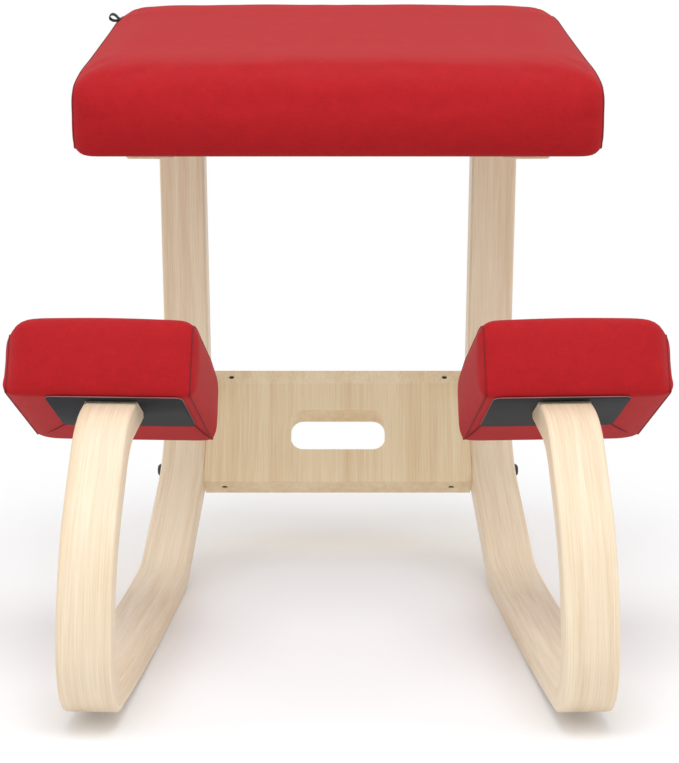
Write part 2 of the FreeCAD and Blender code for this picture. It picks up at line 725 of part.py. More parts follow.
def mirror_place(place):
    """Where the mirror image of an upright fastener stands."""
    return Placement(Vector(-place.Base.x, place.Base.y, place.Base.z), place.Rotation)


def fastener_set(prefix, places, wood, length_cell):
    """Bolts, washers and tee nuts at some places on a cushion's underside."""
    bolts = []
    washers = []
    nuts = []
    for index, place in enumerate(places):
        name = "%s_%d" % (prefix, index)
        bolts.append(button_bolt(name + "_bolt", shifted(place, z=-wood - size("washer_thick")), length_cell))
        washers.append(washer(name + "_washer", shifted(place, z=-wood)))
        nuts.append(tee_nut(name + "_nut", shifted(place, z=cushion_lift + size(prefix + "_board_thick"))))
    return {"bolts": bolts, "washers": washers, "tee_nuts": nuts}


def make_fasteners(prefix, places, wood, length_cell):
    """Both sides' fasteners below the seat, one node for each kind."""
    for kind, pieces in fastener_set(prefix, places, wood, length_cell).items():
        group("%s_%s" % (prefix, kind), pieces + [mirrored(piece.Name + "_right", piece) for piece in pieces])


def make_knee_pads():
    """Both knee pads, each with its own fasteners."""
    width = size("knee_width")
    plan = (width, width, size("knee_depth"), size("knee_corner"), size("knee_depth"))
    lining = (width / 2 - size("knee_lining_inset") - size("knee_lining_width"), size("knee_lining_front"),
              size("knee_lining_width"), size("knee_lining_depth"))
    pieces = make_cushion("knee", KNEE, plan, size("knee_board_margin"), lining, knee_places)
    for piece in ("board", "foam", "cover", "lining"):
        left = finish_part("left_knee_" + piece, pieces[piece])
        finish_part("right_knee_" + piece, mirrored("right_knee_" + piece, left))
    for kind, solids in fastener_set("knee", knee_places, size("knee_bolt_wood"), "knee_bolt_length").items():
        left = group("left_knee_" + kind, solids)
        finish_part("right_knee_" + kind, mirrored("right_knee_" + kind, left))


def write_parts():
    """Check every object and write each sub-part to its own file."""
    doc.recompute()
    for thing in doc.Objects:
        if "Invalid" in thing.State or "Error" in thing.State:
            raise RuntimeError("%s failed: %s" % (thing.Name, thing.State))
    os.makedirs("parts", exist_ok=True)
    for part in parts:
        if part.Shape.isNull() or not part.Shape.isValid():
            raise RuntimeError("%s has no valid shape" % part.Label)
        part.Shape.exportStep(os.path.join("parts", part.Label + ".step"))
        print("%-24s %2d solids %12.1f mm3" % (part.Label, len(part.Shape.Solids), part.Shape.Volume))


make_runners()
make_crossboard()
make_seat()
make_knee_pads()
write_parts()
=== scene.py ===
"""Looks of a rocking kneeling chair: bent wooden runners, a slotted crossboard and red cushions.

Every length is in metres. +Z is up, the floor is Z = 0 and the front is at -Y.
Each runner stands in an upright plane of its own: u runs forward, z up and n outward.
"""

import math

import bmesh
import bpy
import numpy as np
from bpy.props import FloatProperty, FloatVectorProperty, IntProperty, PointerProperty
from mathutils import Matrix, Vector


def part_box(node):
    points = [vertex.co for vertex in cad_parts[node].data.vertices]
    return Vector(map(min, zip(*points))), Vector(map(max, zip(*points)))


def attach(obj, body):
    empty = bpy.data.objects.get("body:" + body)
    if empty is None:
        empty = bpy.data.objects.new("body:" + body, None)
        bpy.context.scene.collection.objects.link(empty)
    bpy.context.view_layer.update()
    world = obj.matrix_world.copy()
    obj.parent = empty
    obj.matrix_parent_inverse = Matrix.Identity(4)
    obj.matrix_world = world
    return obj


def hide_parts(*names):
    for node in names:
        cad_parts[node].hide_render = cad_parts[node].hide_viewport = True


bl_info = {
    "name": "Rocking Kneeling Chair",
    "version": (1, 0, 0),
    "blender": (4, 5, 0),
    "location": "View3D > Sidebar > Chair",
    "description": "Builds the wood, cushions, linings and fastenings of a rocking kneeling chair",
    "category": "Add Mesh",
}

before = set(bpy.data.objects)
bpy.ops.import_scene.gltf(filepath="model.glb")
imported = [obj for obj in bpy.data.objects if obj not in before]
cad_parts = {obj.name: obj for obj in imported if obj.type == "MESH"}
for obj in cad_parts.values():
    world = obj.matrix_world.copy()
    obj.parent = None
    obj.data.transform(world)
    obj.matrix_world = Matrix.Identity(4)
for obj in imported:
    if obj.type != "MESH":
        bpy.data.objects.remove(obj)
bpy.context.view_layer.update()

WHITE = (1, 1, 1, 1)
BLACK = (0, 0, 0, 1)

# How far the tools that cut the washers' seats, the nuts' pockets and the pins' holes start outside.
TOOL_REACH = 0.05
POCKET_REACH = 0.03
PIN_REACH = 0.01
# Share of the edge rounding at each section of the strip's rear end, from its end face on.
REAR_END_SHARES = (1.0, 0.92, 0.7, 0.35)
# Sections of the planed front end, as shares of its length, and the easing of its thin edge.
TIP_SHARES = (0.02, 0.25, 0.5, 0.75, 0.96, 1.0)
TIP_EASING = 0.0007
# Shifts that give the right strip and the board a grain of their own.
RIGHT_GRAIN = 3.7
BOARD_GRAIN = (7.3, 0.4)
# Play of the nuts and pins in their holes.
NUT_PLAY = 0.0001
PIN_PLAY = 0.00005
# Side profile of a cushion: share of its height, then how far its outline is drawn in there.
CUSHION_SHAPE = ((0.0, 0.007), (0.1, 0.0025), (0.3, 0.0), (0.45, 0.0), (0.62, 0.0), (0.8, 0.0035),
                 (0.93, 0.013), (1.0, 0.042))
# The front of a knee pad is fuller.
KNEE_FRONT = ((0.0, 0.006), (0.1, 0.002), (0.3, 0.0), (0.48, 0.0), (0.68, 0.0), (0.85, 0.002),
              (0.95, 0.008), (1.0, 0.026))
# Front part of the underside, over which the front edge rises to the flat, with one point on the way:
# its distance from the front and its share of the roll.
FRONT_UNDERSIDE = 0.035
FRONT_HANG = (0.02, 0.8)
# How much the columns of a cover crowd together towards its seams.
CROWDING = 1.35
# Rings of an end panel, as shares of the way from its seam to its middle line.
PANEL_LEVELS = (0.04, 0.1, 0.2, 0.34, 0.52, 0.74)
# Distance from its seam over which an end panel swells, and how steeply it starts.
PANEL_SWELL = 0.016
PANEL_FULLNESS = 2.4
# Points of a cover that are less than this above its lining stay where they are.
HELD_ABOVE = 0.0015
# Distance of a lining from the plane of its underside, and how far inside its corners the cover's
# folds end.
LINING_LIFT = 0.0002
FOLD_INSET = 0.001
# Half of the tag's tape loop: share of its reach, then its distance from the middle.
TAPE_LOOP = ((0.0, 0.0012), (0.45, 0.0026), (0.85, 0.0022))
TAPE_ROOT = 0.003
TAPE_THICK = 0.001
# Angles of the rings on a bolt's dome, from its flat top to its rim, and the height of the rim.
DOME_ANGLES = (68, 50, 32, 14, 0)
DOME_RIM = 0.0006
# Easing of a bolt's socket, of the lower edge of its head and of the end of its shank.
SOCKET_EASING = 0.0002
HEAD_EASING = 0.0004
SHANK_EASING = 0.0006
# Depth of the relief of wood and coatings and of the weave, in metres.
FINE_RELIEF = 0.0002
WEAVE_RELIEF = 0.0003
# How far the plies and the threads wander from their straight lines.
PLY_WANDER = 0.0006
THREAD_WANDER = 0.0022
# Half of the floor's width.
FLOOR_REACH = 9.0
# Lamps: name, place, aim, size and the setting that gives the power.
LAMPS = (("Key", (0.0, -0.95, 2.5), (0.0, 0.02, 0.2), 1.5, "key"),
         ("Left", (-2.2, -0.9, 1.5), (0.0, 0.0, 0.25), 1.2, "side"),
         ("Right", (2.2, -0.9, 1.5), (0.0, 0.0, 0.25), 1.2, "side"))


def length(default, description):
    """A property that holds a length."""
    return FloatProperty(description=description, default=default, unit="LENGTH")


def share_of(default, description):
    """A property that holds a share."""
    return FloatProperty(description=description, default=default, min=0.0, max=1.0)


def slope(degrees, description):
    """A property that holds an angle."""
    return FloatProperty(description=description, default=math.radians(degrees), subtype="ANGLE",
                         unit="ROTATION")


def colour(default, description):
    """A property that holds a colour."""
    return FloatVectorProperty(description=description, default=default, size=3, subtype="COLOR", min=0.0,
                               max=1.0)


def labelled(group):
    """Label each property of a group with its own name."""
    for key, prop in group.__annotations__.items():
        prop.keywords["name"] = key.replace("_", " ").title()
    return group


@labelled
class RunnerSettings(bpy.types.PropertyGroup):
    """Sizes of the bent strips."""

    width: length(0.0415, "Width of the strip across its plies")
    thick: length(0.024, "Thickness of the strip")
    gap: length(0.2634, "Between the strips' inner faces, level with the reference line")
    toe_out: slope(4.14, "How far each runner turns out towards the front")
    contact: length(0.099, "Resting point of the rocker ahead of the reference line")
    rocker_radius: length(6.0, "Radius of the rocker ahead of the resting point")
    rocker_front: length(0.35, "Length of the rocker ahead of the resting point")
    heel_rocker_radius: length(0.7, "Radius of the rocker behind the resting point")
    heel_rocker: length(0.03, "Length of the rocker behind the resting point")
    toe_radius: length(0.053, "Outer radius of the bend at the front")
    riser_slope: slope(93.0, "Heading of the strip where the toe bend ends")
    riser_radius: length(0.162, "Outer radius of the riser")
    brace_slope: slope(136.0, "Heading of the straight brace")
    brace: length(0.042, "Length of the straight brace")
    loop_radius: length(0.088, "Outer radius of the bend below the knee pad")
    loop_slope: slope(175.0, "Heading of the strip where it meets the knee pad")
    loop: length(0.02, "Outer face between the last bend and the knee pad")
    tip: length(0.006, "Blunt end of the strip below the knee pad")
    heel_radius: length(0.12, "Outer radius of the bend behind the rocker")
    incline_slope: slope(22.5, "Slope of the straight run behind the rocker")
    incline: length(0.114, "Length of that straight run")
    rear_radius: length(0.115, "Outer radius of the bend at the back")
    lean: slope(6.9, "Lean of the upright towards the front")
    upright: length(0.2075, "Straight length of the upright")
    top_radius: length(0.07, "Outer radius of the bend below the seat")
    rail: length(0.16, "Straight rail below the seat")
    planing: length(0.0003, "Wood planed off the rail")
    edge: length(0.0024, "Radius of the strip's long edges")
    ply: length(0.0015, "Thickness of one ply")


@labelled
class BoardSettings(bpy.types.PropertyGroup):
    """Sizes of the crossboard."""

    thick: length(0.024, "Thickness of the board")
    length: length(0.122, "Height of the board along its slope")
    slope: slope(51.5, "Slope of the board, rising to the back")
    bevel: length(0.018, "Bevel along the upper front edge, up the board")
    bevel_depth: length(0.0073, "Depth of that bevel")
    slot_width: length(0.089, "Width of the hand slot")
    slot_height: length(0.0414, "Height of the hand slot")
    slot_start: length(0.034, "Lower edge of the slot above the board's lower edge")
    slot_corner: length(0.012, "Corner radius of the slot")
    lower_bolt: length(0.017, "Lower bolt above the board's lower edge")
    bolt_spacing: length(0.049, "Between the two bolts of one runner")
    barrel: length(0.01, "Diameter of a barrel nut")
    barrel_length: length(0.016, "Length of a barrel nut")
    barrel_inset: length(0.032, "Barrel nut from the end of the board")
    pin: length(0.005, "Diameter of the pins")
    pin_depth: length(0.012, "Depth of the pins' holes")
    pin_inset: length(0.019, "Pins from the ends of the board")
    edge: length(0.0009, "Easing of the board's edges")


@labelled
class SeatSettings(bpy.types.PropertyGroup):
    """Sizes of the seat cushion."""

    slope: slope(8.0, "Slope of the seat, down to the front")
    front_width: length(0.441, "Width at the front, between the fullest points")
    back_width: length(0.396, "Width at the back, between the fullest points")
    depth: length(0.325, "Depth along the slope")
    height: length(0.07, "Thickness at the crown")
    roll: length(0.003, "How far the front edge hangs below the underside")
    back_reach: length(0.076, "Seat behind the start of the rails")
    lining_margin: length(0.018, "Lining inside the cushion's edge")
    crown: length(0.002, "Rise of the middle above the seams")
    bulge: length(0.0035, "How far the end panels stand out of their seams")
    shoulder: length(0.013, "Distance over which the wrap draws in to its seams")
    drop: length(0.008, "How far the wrap draws in at its seams")
    under_share: share_of(1.0, "Share of that drop on the underside")
    bolt_first: length(0.032, "Rear bolt ahead of the rail's start")
    bolt_spacing: length(0.096, "Between the two bolts in one rail")
    bolt_wood: length(0.022, "Wood left above the washers")
    tag_back: length(0.056, "Tag ahead of the back edge")
    tag_rise: length(0.0625, "Root of the tag above the underside")
    tag_width: length(0.008, "Width of the tag")
    tag_reach: length(0.008, "How far the tag stands out")


@labelled
class KneeSettings(bpy.types.PropertyGroup):
    """Sizes of the knee pads."""

    slope: slope(24.0, "Slope of the pads, up to the front")
    width: length(0.155, "Width of a pad, between the fullest points")
    depth: length(0.172, "Depth along the slope")
    height: length(0.068, "Thickness at the crown")
    roll: length(0.0, "How far the front edge hangs below the underside")
    side_shift: length(0.00975, "Centre of the pad outward of the strip's centre")
    reach: length(0.016, "Pad ahead of the strip's contact")
    crown: length(0.0015, "Rise of the middle above the seams")
    bulge: length(0.0045, "How far the end panels stand out of their seams")
    shoulder: length(0.009, "Distance over which the wrap draws in to its inner seam")
    drop: length(0.0045, "How far the wrap draws in at its inner seam")
    outer_shoulder: length(0.019, "Distance over which the wrap rounds to its outer seam")
    outer_drop: length(0.014, "How far the wrap draws in at its outer seam")
    under_share: share_of(0.25, "Share of those drops on the underside, which the board fills")
    lining_width: length(0.108, "Width of the lining")
    lining_depth: length(0.098, "Depth of the lining")
    lining_front: length(0.006, "Lining behind the front edge")
    lining_inset: length(0.011, "Lining outward of the inner edge")
    bolt_spacing: length(0.02, "Between the two bolts of one pad")
    bolt_back: length(0.026, "Bolts behind the strip's contact")
    bolt_wood: length(0.009, "Wood left above the washers")


@labelled
class CoverSettings(bpy.types.PropertyGroup):
    """How the covers are sewn and lined."""

    lining_thick: length(0.0012, "Cloth under the cushions")
    lining_corner: length(0.006, "Corner radius of the linings")
    seam: length(0.0012, "Width of the sewn seam")
    hem: length(0.0009, "Width of the cut edge that shows round the linings")
    spacing: length(0.0055, "Spacing of the mesh before its subdivision")
    puff: length(0.003, "Most that the stuffing pushes the fabric out")
    frames: IntProperty(description="Frames of the cloth simulation", default=16, min=2)
    thread: length(0.0011, "Spacing of the weave's threads")


@labelled
class FastenerSettings(bpy.types.PropertyGroup):
    """Sizes of the bolts."""

    shank: length(0.006, "Diameter of the shank")
    head: length(0.012, "Diameter of the domed head")
    head_height: length(0.004, "Height of the domed head")
    socket: length(0.004, "Hexagon socket across its flats")
    socket_depth: length(0.0024, "Depth of the hexagon socket")
    washer: length(0.0164, "Diameter of the washers' seats")
    cross_bolt: length(0.078, "Shank of a crossboard bolt")


@labelled
class FinishSettings(bpy.types.PropertyGroup):
    """Colours of the finishes."""

    wood_pale: colour((0.87, 0.74, 0.56), "Early wood of the runners")
    wood_dark: colour((0.73, 0.56, 0.37), "Late wood of the runners")
    board_pale: colour((0.93, 0.79, 0.54), "Early wood of the crossboard")
    board_dark: colour((0.80, 0.60, 0.36), "Late wood of the crossboard")
    # The two reds of the weave: the deep one is painted shade in the weave's hollows, mixed with real uneven
    # thread tone.
    cloth_light: colour((0.475, 0.012, 0.016), "Upper threads of the red fabric")
    cloth_deep: colour((0.34, 0.008, 0.012), "Lower threads of the red fabric")
    # The seam colour is painted shade: dark red lines for the shade in the seams' grooves and the corner
    # folds' creases.
    seam: colour((0.2, 0.006, 0.01), "Sewn seams of the covers")
    hem: colour((0.32, 0.12, 0.13), "Cut edge of the cover round the linings")
    lining: colour((0.018, 0.0205, 0.024), "Cloth under the cushions")
    black: colour((0.012, 0.012, 0.013), "Coated bolts")
    zinc: colour((0.62, 0.62, 0.6), "Plated nuts and washers")
    # The pins' near-black is painted shade: it stands for the dark of the board's holes.
    pin: colour((0.022, 0.016, 0.012), "Pins in the board")
    tag: colour((0.012, 0.012, 0.013), "Plain tag in the seam")


@labelled
class StageSettings(bpy.types.PropertyGroup):
    """Camera, floor and lights."""

    distance: length(2.4915, "Camera ahead of the runners' reference line")
    rise: length(0.6415, "Camera above the floor")
    tilt: slope(10.46, "How far the camera looks down")
    lens: FloatProperty(description="Focal length in millimetres", default=132.1)
    shift: FloatProperty(description="Sideways shift of the picture", default=0.002)
    key: FloatProperty(description="Power of the large lamp above the front", default=24.0)
    side: FloatProperty(description="Power of each lamp beside the chair", default=4.0)
    sky: FloatProperty(description="Light from all round", default=0.86)
    fade_start: length(0.4, "Distance from the chair at which the floor starts to turn white")
    fade_end: length(0.85, "Distance from the chair at which the floor is plain white")
    floor_white: FloatProperty(description="White added to the floor for the camera", default=0.08)


# Places and curves


def frame_at(origin, axis_a=(1, 0, 0), axis_b=(0, 1, 0), axis_c=(0, 0, 1)):
    """A frame from its origin and three directions at right angles, as a 4 by 4 array."""
    made = np.eye(4)
    for column, values in enumerate((axis_a, axis_b, axis_c, origin)):
        made[:3, column] = values
    return made


def placed(place, points):
    """Points given within a frame, in the chair's own frame."""
    return np.asarray(points, float) @ place[:3, :3].T + place[:3, 3]


def trace(steps, step=0.006):
    """Points and headings along arcs and straight runs that all turn the same way."""
    point = np.zeros(2)
    heading = 0.0
    points, headings, ends = [point], [heading], [0]
    for radius, amount in steps:
        if radius:
            centre = point + radius * np.array((-math.sin(heading), math.cos(heading)))
            turn = amount - heading
            count = max(2, math.ceil(turn * radius / step), math.ceil(math.degrees(turn) / 4))
            for index in range(1, count + 1):
                now = heading + turn * index / count
                points.append(centre + radius * np.array((math.sin(now), -math.cos(now))))
                headings.append(now)
            heading = amount
        else:
            count = max(1, math.ceil(amount / (2 * step)))
            along = np.array((math.cos(heading), math.sin(heading)))
            for index in range(1, count + 1):
                points.append(point + along * amount * index / count)
                headings.append(heading)
        point = points[-1]
        ends.append(len(points) - 1)
    return np.array(points), np.array(headings), ends


def smooth_line(points, closed=False, samples=10):
    """A rounded line through points, by their neighbours' directions."""
    points = np.asarray(points, float)
    count = len(points)
    made = []
    for index in range(count if closed else count - 1):
        around = [points[(index + k) % count] if closed else points[min(max(index + k, 0), count - 1)]
                  for k in (-1, 0, 1, 2)]
        gaps = [max(np.linalg.norm(b - a), 1e-9) ** 0.5 for a, b in zip(around, around[1:])]
        start = (around[1] - around[0]) / gaps[0] - (around[2] - around[0]) / (gaps[0] + gaps[1])
        start = (start + (around[2] - around[1]) / gaps[1]) * gaps[1]
        end = (around[2] - around[1]) / gaps[1] - (around[3] - around[1]) / (gaps[1] + gaps[2])
        end = (end + (around[3] - around[2]) / gaps[2]) * gaps[1]
        for t in np.arange(samples) / samples:
            made.append((2 * t**3 - 3 * t**2 + 1) * around[1] + (t**3 - 2 * t**2 + t) * start
                        + (3 * t**2 - 2 * t**3) * around[2] + (t**3 - t**2) * end)
    if not closed:
        made.append(points[-1])
    return np.array(made)


def even_loop(points, count):
    """A closed line's points, spread evenly."""
    ring = np.vstack([points, points[:1]])
    along = np.concatenate([[0], np.cumsum(np.linalg.norm(np.diff(ring, axis=0), axis=1))])
    places = np.arange(count) / count * along[-1]
    spread = [np.interp(places, along, ring[:, axis]) for axis in range(ring.shape[1])]
    return np.stack(spread, 1), along[-1]


class Places:
    """Frames of the runner, the crossboard, the seat and the left knee pad."""

    def __init__(self, scene):
        runner, board = scene.chair_runner, scene.chair_board
        seat, knee = scene.chair_seat, scene.chair_knee
        self.front, self.front_headings, _ = trace((
            (runner.rocker_radius, runner.rocker_front / runner.rocker_radius),
            (runner.toe_radius, runner.riser_slope),
            (runner.riser_radius, runner.brace_slope),
            (0, runner.brace),
            (runner.loop_radius, runner.loop_slope),
            (0, runner.loop)))
        self.rear, self.rear_headings, self.rear_ends = trace((
            (runner.heel_rocker_radius, runner.heel_rocker / runner.heel_rocker_radius),
            (runner.heel_radius, runner.incline_slope),
            (0, runner.incline),
            (runner.rear_radius, math.pi / 2 + runner.lean),
            (0, runner.upright),
            (runner.top_radius, math.pi + seat.slope),
            (0, runner.rail)))
        self.front = self.front + (runner.contact, 0)
        self.rear = (runner.contact, 0) + self.rear * (-1, 1)
        cos_toe, sin_toe = math.cos(runner.toe_out), math.sin(runner.toe_out)
        toe = self.front[:, 0].max()
        self.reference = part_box("left_runner")[0].y + toe * cos_toe
        self.runner = frame_at((-runner.gap / 2, self.reference, 0), (-sin_toe, -cos_toe, 0), (0, 0, 1),
                               (-cos_toe, sin_toe, 0))

        middle = runner.rear_radius - runner.thick / 2
        half_chord = math.asin(board.bolt_spacing / 2 / middle)
        bend_end = self.rear_ends[4]
        heading = self.rear_headings[bend_end]
        centre = self.rear[bend_end] + runner.rear_radius * np.array((math.sin(heading), math.cos(heading)))
        self.cross_bolts = [centre + middle * np.array((-math.sin(angle), -math.cos(angle)))
                            for angle in (board.slope - half_chord, board.slope + half_chord)]
        low_u, low_z = self.cross_bolts[0]
        cos_board, sin_board = math.cos(board.slope), math.sin(board.slope)
        self.board = frame_at(
            (0, self.reference - low_u * cos_toe - board.barrel_inset / 2 * sin_toe
             - board.lower_bolt * cos_board, low_z - board.lower_bolt * sin_board),
            (1, 0, 0), (0, cos_board, sin_board), (0, -sin_board, cos_board))

        rail = self.rear_ends[6]
        heading = self.rear_headings[rail]
        start = self.rear[rail] + runner.planing * np.array((math.sin(heading), math.cos(heading)))
        centre = placed(self.runner, (start[0], start[1], runner.width / 2))
        cos_seat, sin_seat = math.cos(seat.slope), math.sin(seat.slope)
        back = centre + seat.back_reach * np.array((0, cos_seat, sin_seat))
        self.seat = frame_at((0, back[1], back[2]), (1, 0, 0), (0, cos_seat, sin_seat),
                             (0, -sin_seat, cos_seat))
        self.seat_bolts = []
        for step in (0, 1):
            ahead = seat.bolt_first + step * seat.bolt_spacing
            point = self.rear[rail] + ahead * np.array((-math.cos(heading), math.sin(heading)))
            inside = np.linalg.inv(self.seat) @ np.append(
                placed(self.runner, (point[0], point[1], runner.width / 2)), 1)
            self.seat_bolts.append(inside[:2])

        self.knee_contact = self.front[-1]
        cos_knee, sin_knee = math.cos(knee.slope), math.sin(knee.slope)
        front = self.knee_contact + knee.reach * np.array((cos_knee, sin_knee))
        self.knee = self.runner @ frame_at((front[0], front[1], runner.width / 2 + knee.side_shift),
                                           (0, 0, -1), (-cos_knee, -sin_knee, 0), (-sin_knee, cos_knee, 0))
        self.knee_bolts = [(knee.side_shift + side * knee.bolt_spacing / 2, knee.reach + knee.bolt_back)
                           for side in (-1, 1)]


# Meshes


def add_object(name, data):
    """Put an object into the scene."""
    made = bpy.data.objects.new(name, data)
    bpy.context.scene.collection.objects.link(made)
    return made


def make_piece(name, points, faces, maps=None):
    """Mesh object from points, faces and UV maps that are given for each corner of each face."""
    mesh = bpy.data.meshes.new(name)
    mesh.from_pydata([tuple(point) for point in points], [], [tuple(face) for face in faces])
    for label, values in (maps or {}).items():
        layer = mesh.uv_layers.new(name=label)
        layer.uv.foreach_set("vector", np.asarray(values, np.float32).ravel())
    mesh.polygons.foreach_set("use_smooth", [True] * len(mesh.polygons))
    mesh.update()
    return add_object(name, mesh)


def ring_faces(rows, size, first=0):
    """Faces between rings of points that follow each other, and a face at each end."""
    faces = []
    for start in range(first, first + (rows - 1) * size, size):
        for k in range(size):
            after = (k + 1) % size
            faces.append([start + k, start + after, start + size + after, start + size + k])
    last = first + (rows - 1) * size
    return faces + [list(range(first, first + size))[::-1], list(range(last, last + size))]


def prism(name, outline, low, high):
    """Closed shape from a flat outline and two heights."""
    points = [(x, y, z) for z in (low, high) for x, y in outline]
    return make_piece(name, points, ring_faces(2, len(outline)))


def face_outward(piece):
    """Turn all faces outward."""
    shape = bmesh.new()
    shape.from_mesh(piece.data)
    bmesh.ops.recalc_face_normals(shape, faces=shape.faces)
    shape.to_mesh(piece.data)
    shape.free()


def by_corner(faces, values):
    """Values of points, repeated for each corner of each face."""
    values = np.asarray(values, float)
    return values[np.fromiter((index for face in faces for index in face), int)]


def mesh_points(mesh):
    """A mesh's points as an array."""
    found = np.empty(len(mesh.vertices) * 3, np.float32)
    mesh.vertices.foreach_get("co", found)
    return found.reshape(-1, 3).astype(float)


def set_points(mesh, points):
    """Move a mesh's points."""
    mesh.vertices.foreach_set("co", np.asarray(points, np.float32).ravel())
    mesh.update()


def mirror_piece(piece, name):
    """The same piece on the right-hand side."""
    twin = piece.copy()
    twin.data = piece.data.copy()
    twin.name = twin.data.name = name
    twin.data.transform(Matrix.Scale(-1, 4, (1, 0, 0)))
    twin.data.flip_normals()
    bpy.context.scene.collection.objects.link(twin)
    return twin


def apply_modifiers(piece):
    """Make a piece's modifiers part of its mesh."""
    depsgraph = bpy.context.evaluated_depsgraph_get()
    mesh = bpy.data.meshes.new_from_object(piece.evaluated_get(depsgraph), preserve_all_data_layers=True,
                                           depsgraph=depsgraph)
    old = piece.data
    piece.modifiers.clear()
    piece.data = mesh
    bpy.data.meshes.remove(old)
    mesh.name = piece.name


def rods(name, places, radius, low, high, sides=32):
    """Closed cylinders along the third axis of some frames, as one mesh."""
    points, faces = [], []
    turns = np.arange(sides) * 2 * math.pi / sides
    ring = np.stack([radius * np.cos(turns), radius * np.sin(turns)], 1)
    for place in places:
        faces += ring_faces(2, sides, len(points))
        for z in (low, high):
            points += list(placed(place, np.column_stack([ring, np.full(sides, z)])))
    return make_piece(name, points, faces)


def carve(piece, *tools):
    """Cut tools out of a piece and delete them."""
    for tool in tools:
        cut = piece.modifiers.new("Cut", "BOOLEAN")
        cut.operation = "DIFFERENCE"
        cut.solver = "EXACT"
        cut.object = tool
    apply_modifiers(piece)
    for tool in tools:
        bpy.data.objects.remove(tool)


def even_shading(piece, angle=math.radians(35)):
    """Keep corners crisp and flat faces flat."""
    piece.data.polygons.foreach_set("use_smooth", [True] * len(piece.data.polygons))
    piece.data.set_sharp_from_angle(angle=angle)
    weighted = piece.modifiers.new("Weighted Normals", "WEIGHTED_NORMAL")
    weighted.keep_sharp = True


def rounded_outline(low, high, radius, steps=6):
    """A rectangle's outline with rounded corners, anticlockwise."""
    low, high = np.asarray(low, float), np.asarray(high, float)
    centres = ((high[0] - radius, low[1] + radius, -90), (high[0] - radius, high[1] - radius, 0),
               (low[0] + radius, high[1] - radius, 90), (low[0] + radius, low[1] + radius, 180))
    points = []
    for x, y, start in centres:
        for step in range(steps + 1):
            turn = math.radians(start + 90 * step / steps)
            points.append((x + radius * math.cos(turn), y + radius * math.sin(turn)))
    return np.array(points)


def tube(name, lines, radius, closed, sides=8):
    """Round thread along one or more lines of points."""
    curve = bpy.data.curves.new(name, "CURVE")
    curve.dimensions = "3D"
    curve.bevel_depth = radius
    curve.bevel_resolution = sides // 4
    curve.use_fill_caps = True
    for line in lines:
        spline = curve.splines.new("POLY")
        spline.points.add(len(line) - 1)
        spline.points.foreach_set("co", np.column_stack([line, np.ones(len(line))]).ravel())
        spline.use_cyclic_u = closed
    holder = add_object(name, curve)
    depsgraph = bpy.context.evaluated_depsgraph_get()
    mesh = bpy.data.meshes.new_from_object(holder.evaluated_get(depsgraph))
    bpy.data.objects.remove(holder)
    bpy.data.curves.remove(curve)
    mesh.name = name
    mesh.polygons.foreach_set("use_smooth", [True] * len(mesh.polygons))
    return add_object(name, mesh)


# Shader nodes


def join(tree, value, socket):
    """Give an input a value, or link another node's output to it."""
    value = getattr(value, "socket", value)
    if isinstance(value, bpy.types.NodeSocket):
        tree.links.new(value, socket)
    else:
        socket.default_value = value


def node(tree, kind, settings=None, **inputs):
    """Add a node. An input is a value or an output; a name such as in_1 picks it by number."""
    made = tree.nodes.new("ShaderNode" + kind)
    for name, value in (settings or {}).items():
        setattr(made, name, value)
    for name, value in inputs.items():
        key = int(name[3:]) if name.startswith("in_") else name.replace("_", " ")
        join(tree, value, made.inputs[key])
    return made


class Value:
    """An output in a sum: every operator adds a Math node."""

    def __init__(self, tree, socket):
        self.tree, self.socket = tree, socket

    def math(self, operation, other=0.0, clamp=False):
        """This value and another in one Math node."""
        made = node(self.tree, "Math", {"operation": operation, "use_clamp": clamp}, in_0=self, in_1=other)
        return Value(self.tree, made.outputs[0])

    def ranged(self, low, high, to_low=0.0, to_high=1.0, kind="SMOOTHSTEP"):
        """This value, moved from one range into another."""
        made = node(self.tree, "MapRange", {"interpolation_type": kind}, Value=self, From_Min=low,
                    From_Max=high, To_Min=to_low, To_Max=to_high)
        return Value(self.tree, made.outputs[0])

    def __add__(self, other):
        return self.math("ADD", other)

    def __sub__(self, other):
        return self.math("SUBTRACT", other)

    def __mul__(self, other):
        return self.math("MULTIPLY", other)

    def __truediv__(self, other):
        return self.math("DIVIDE", other)

    def __mod__(self, other):
        return self.math("FLOORED_MODULO", other)


def moved(tree, operation, first, **inputs):
    """Output of a Vector Math node."""
    return node(tree, "VectorMath", {"operation": operation}, in_0=first, **inputs).outputs[0]


def mixed(tree, share, first, second, blend="MIX"):
    """Output of a colour Mix node."""
    made = node(tree, "Mix", {"data_type": "RGBA", "blend_type": blend}, in_0=share, in_6=first, in_7=second)
    return made.outputs[2]


def new_group(name, inputs, outputs):
    """A shader node group with named sockets; each is a name, a kind and, for an input, its default."""
    tree = bpy.data.node_groups.new(name, "ShaderNodeTree")
    for label, kind, default in inputs:
        socket = tree.interface.new_socket(name=label, in_out="INPUT", socket_type="NodeSocket" + kind)
        socket.default_value = default
    for label, kind in outputs:
        tree.interface.new_socket(name=label, in_out="OUTPUT", socket_type="NodeSocket" + kind)
    return tree, tree.nodes.new("NodeGroupInput").outputs, tree.nodes.new("NodeGroupOutput").inputs


def noise(tree, place, scale, detail=3.0, roughness=0.5):
    """Noise over a place; a scale for each axis stretches it."""
    if isinstance(scale, tuple):
        place, scale = moved(tree, "MULTIPLY", place, in_1=scale), 1.0
    made = node(tree, "TexNoise", Vector=place, Scale=scale, Detail=detail, Roughness=roughness)
    return Value(tree, made.outputs[0])


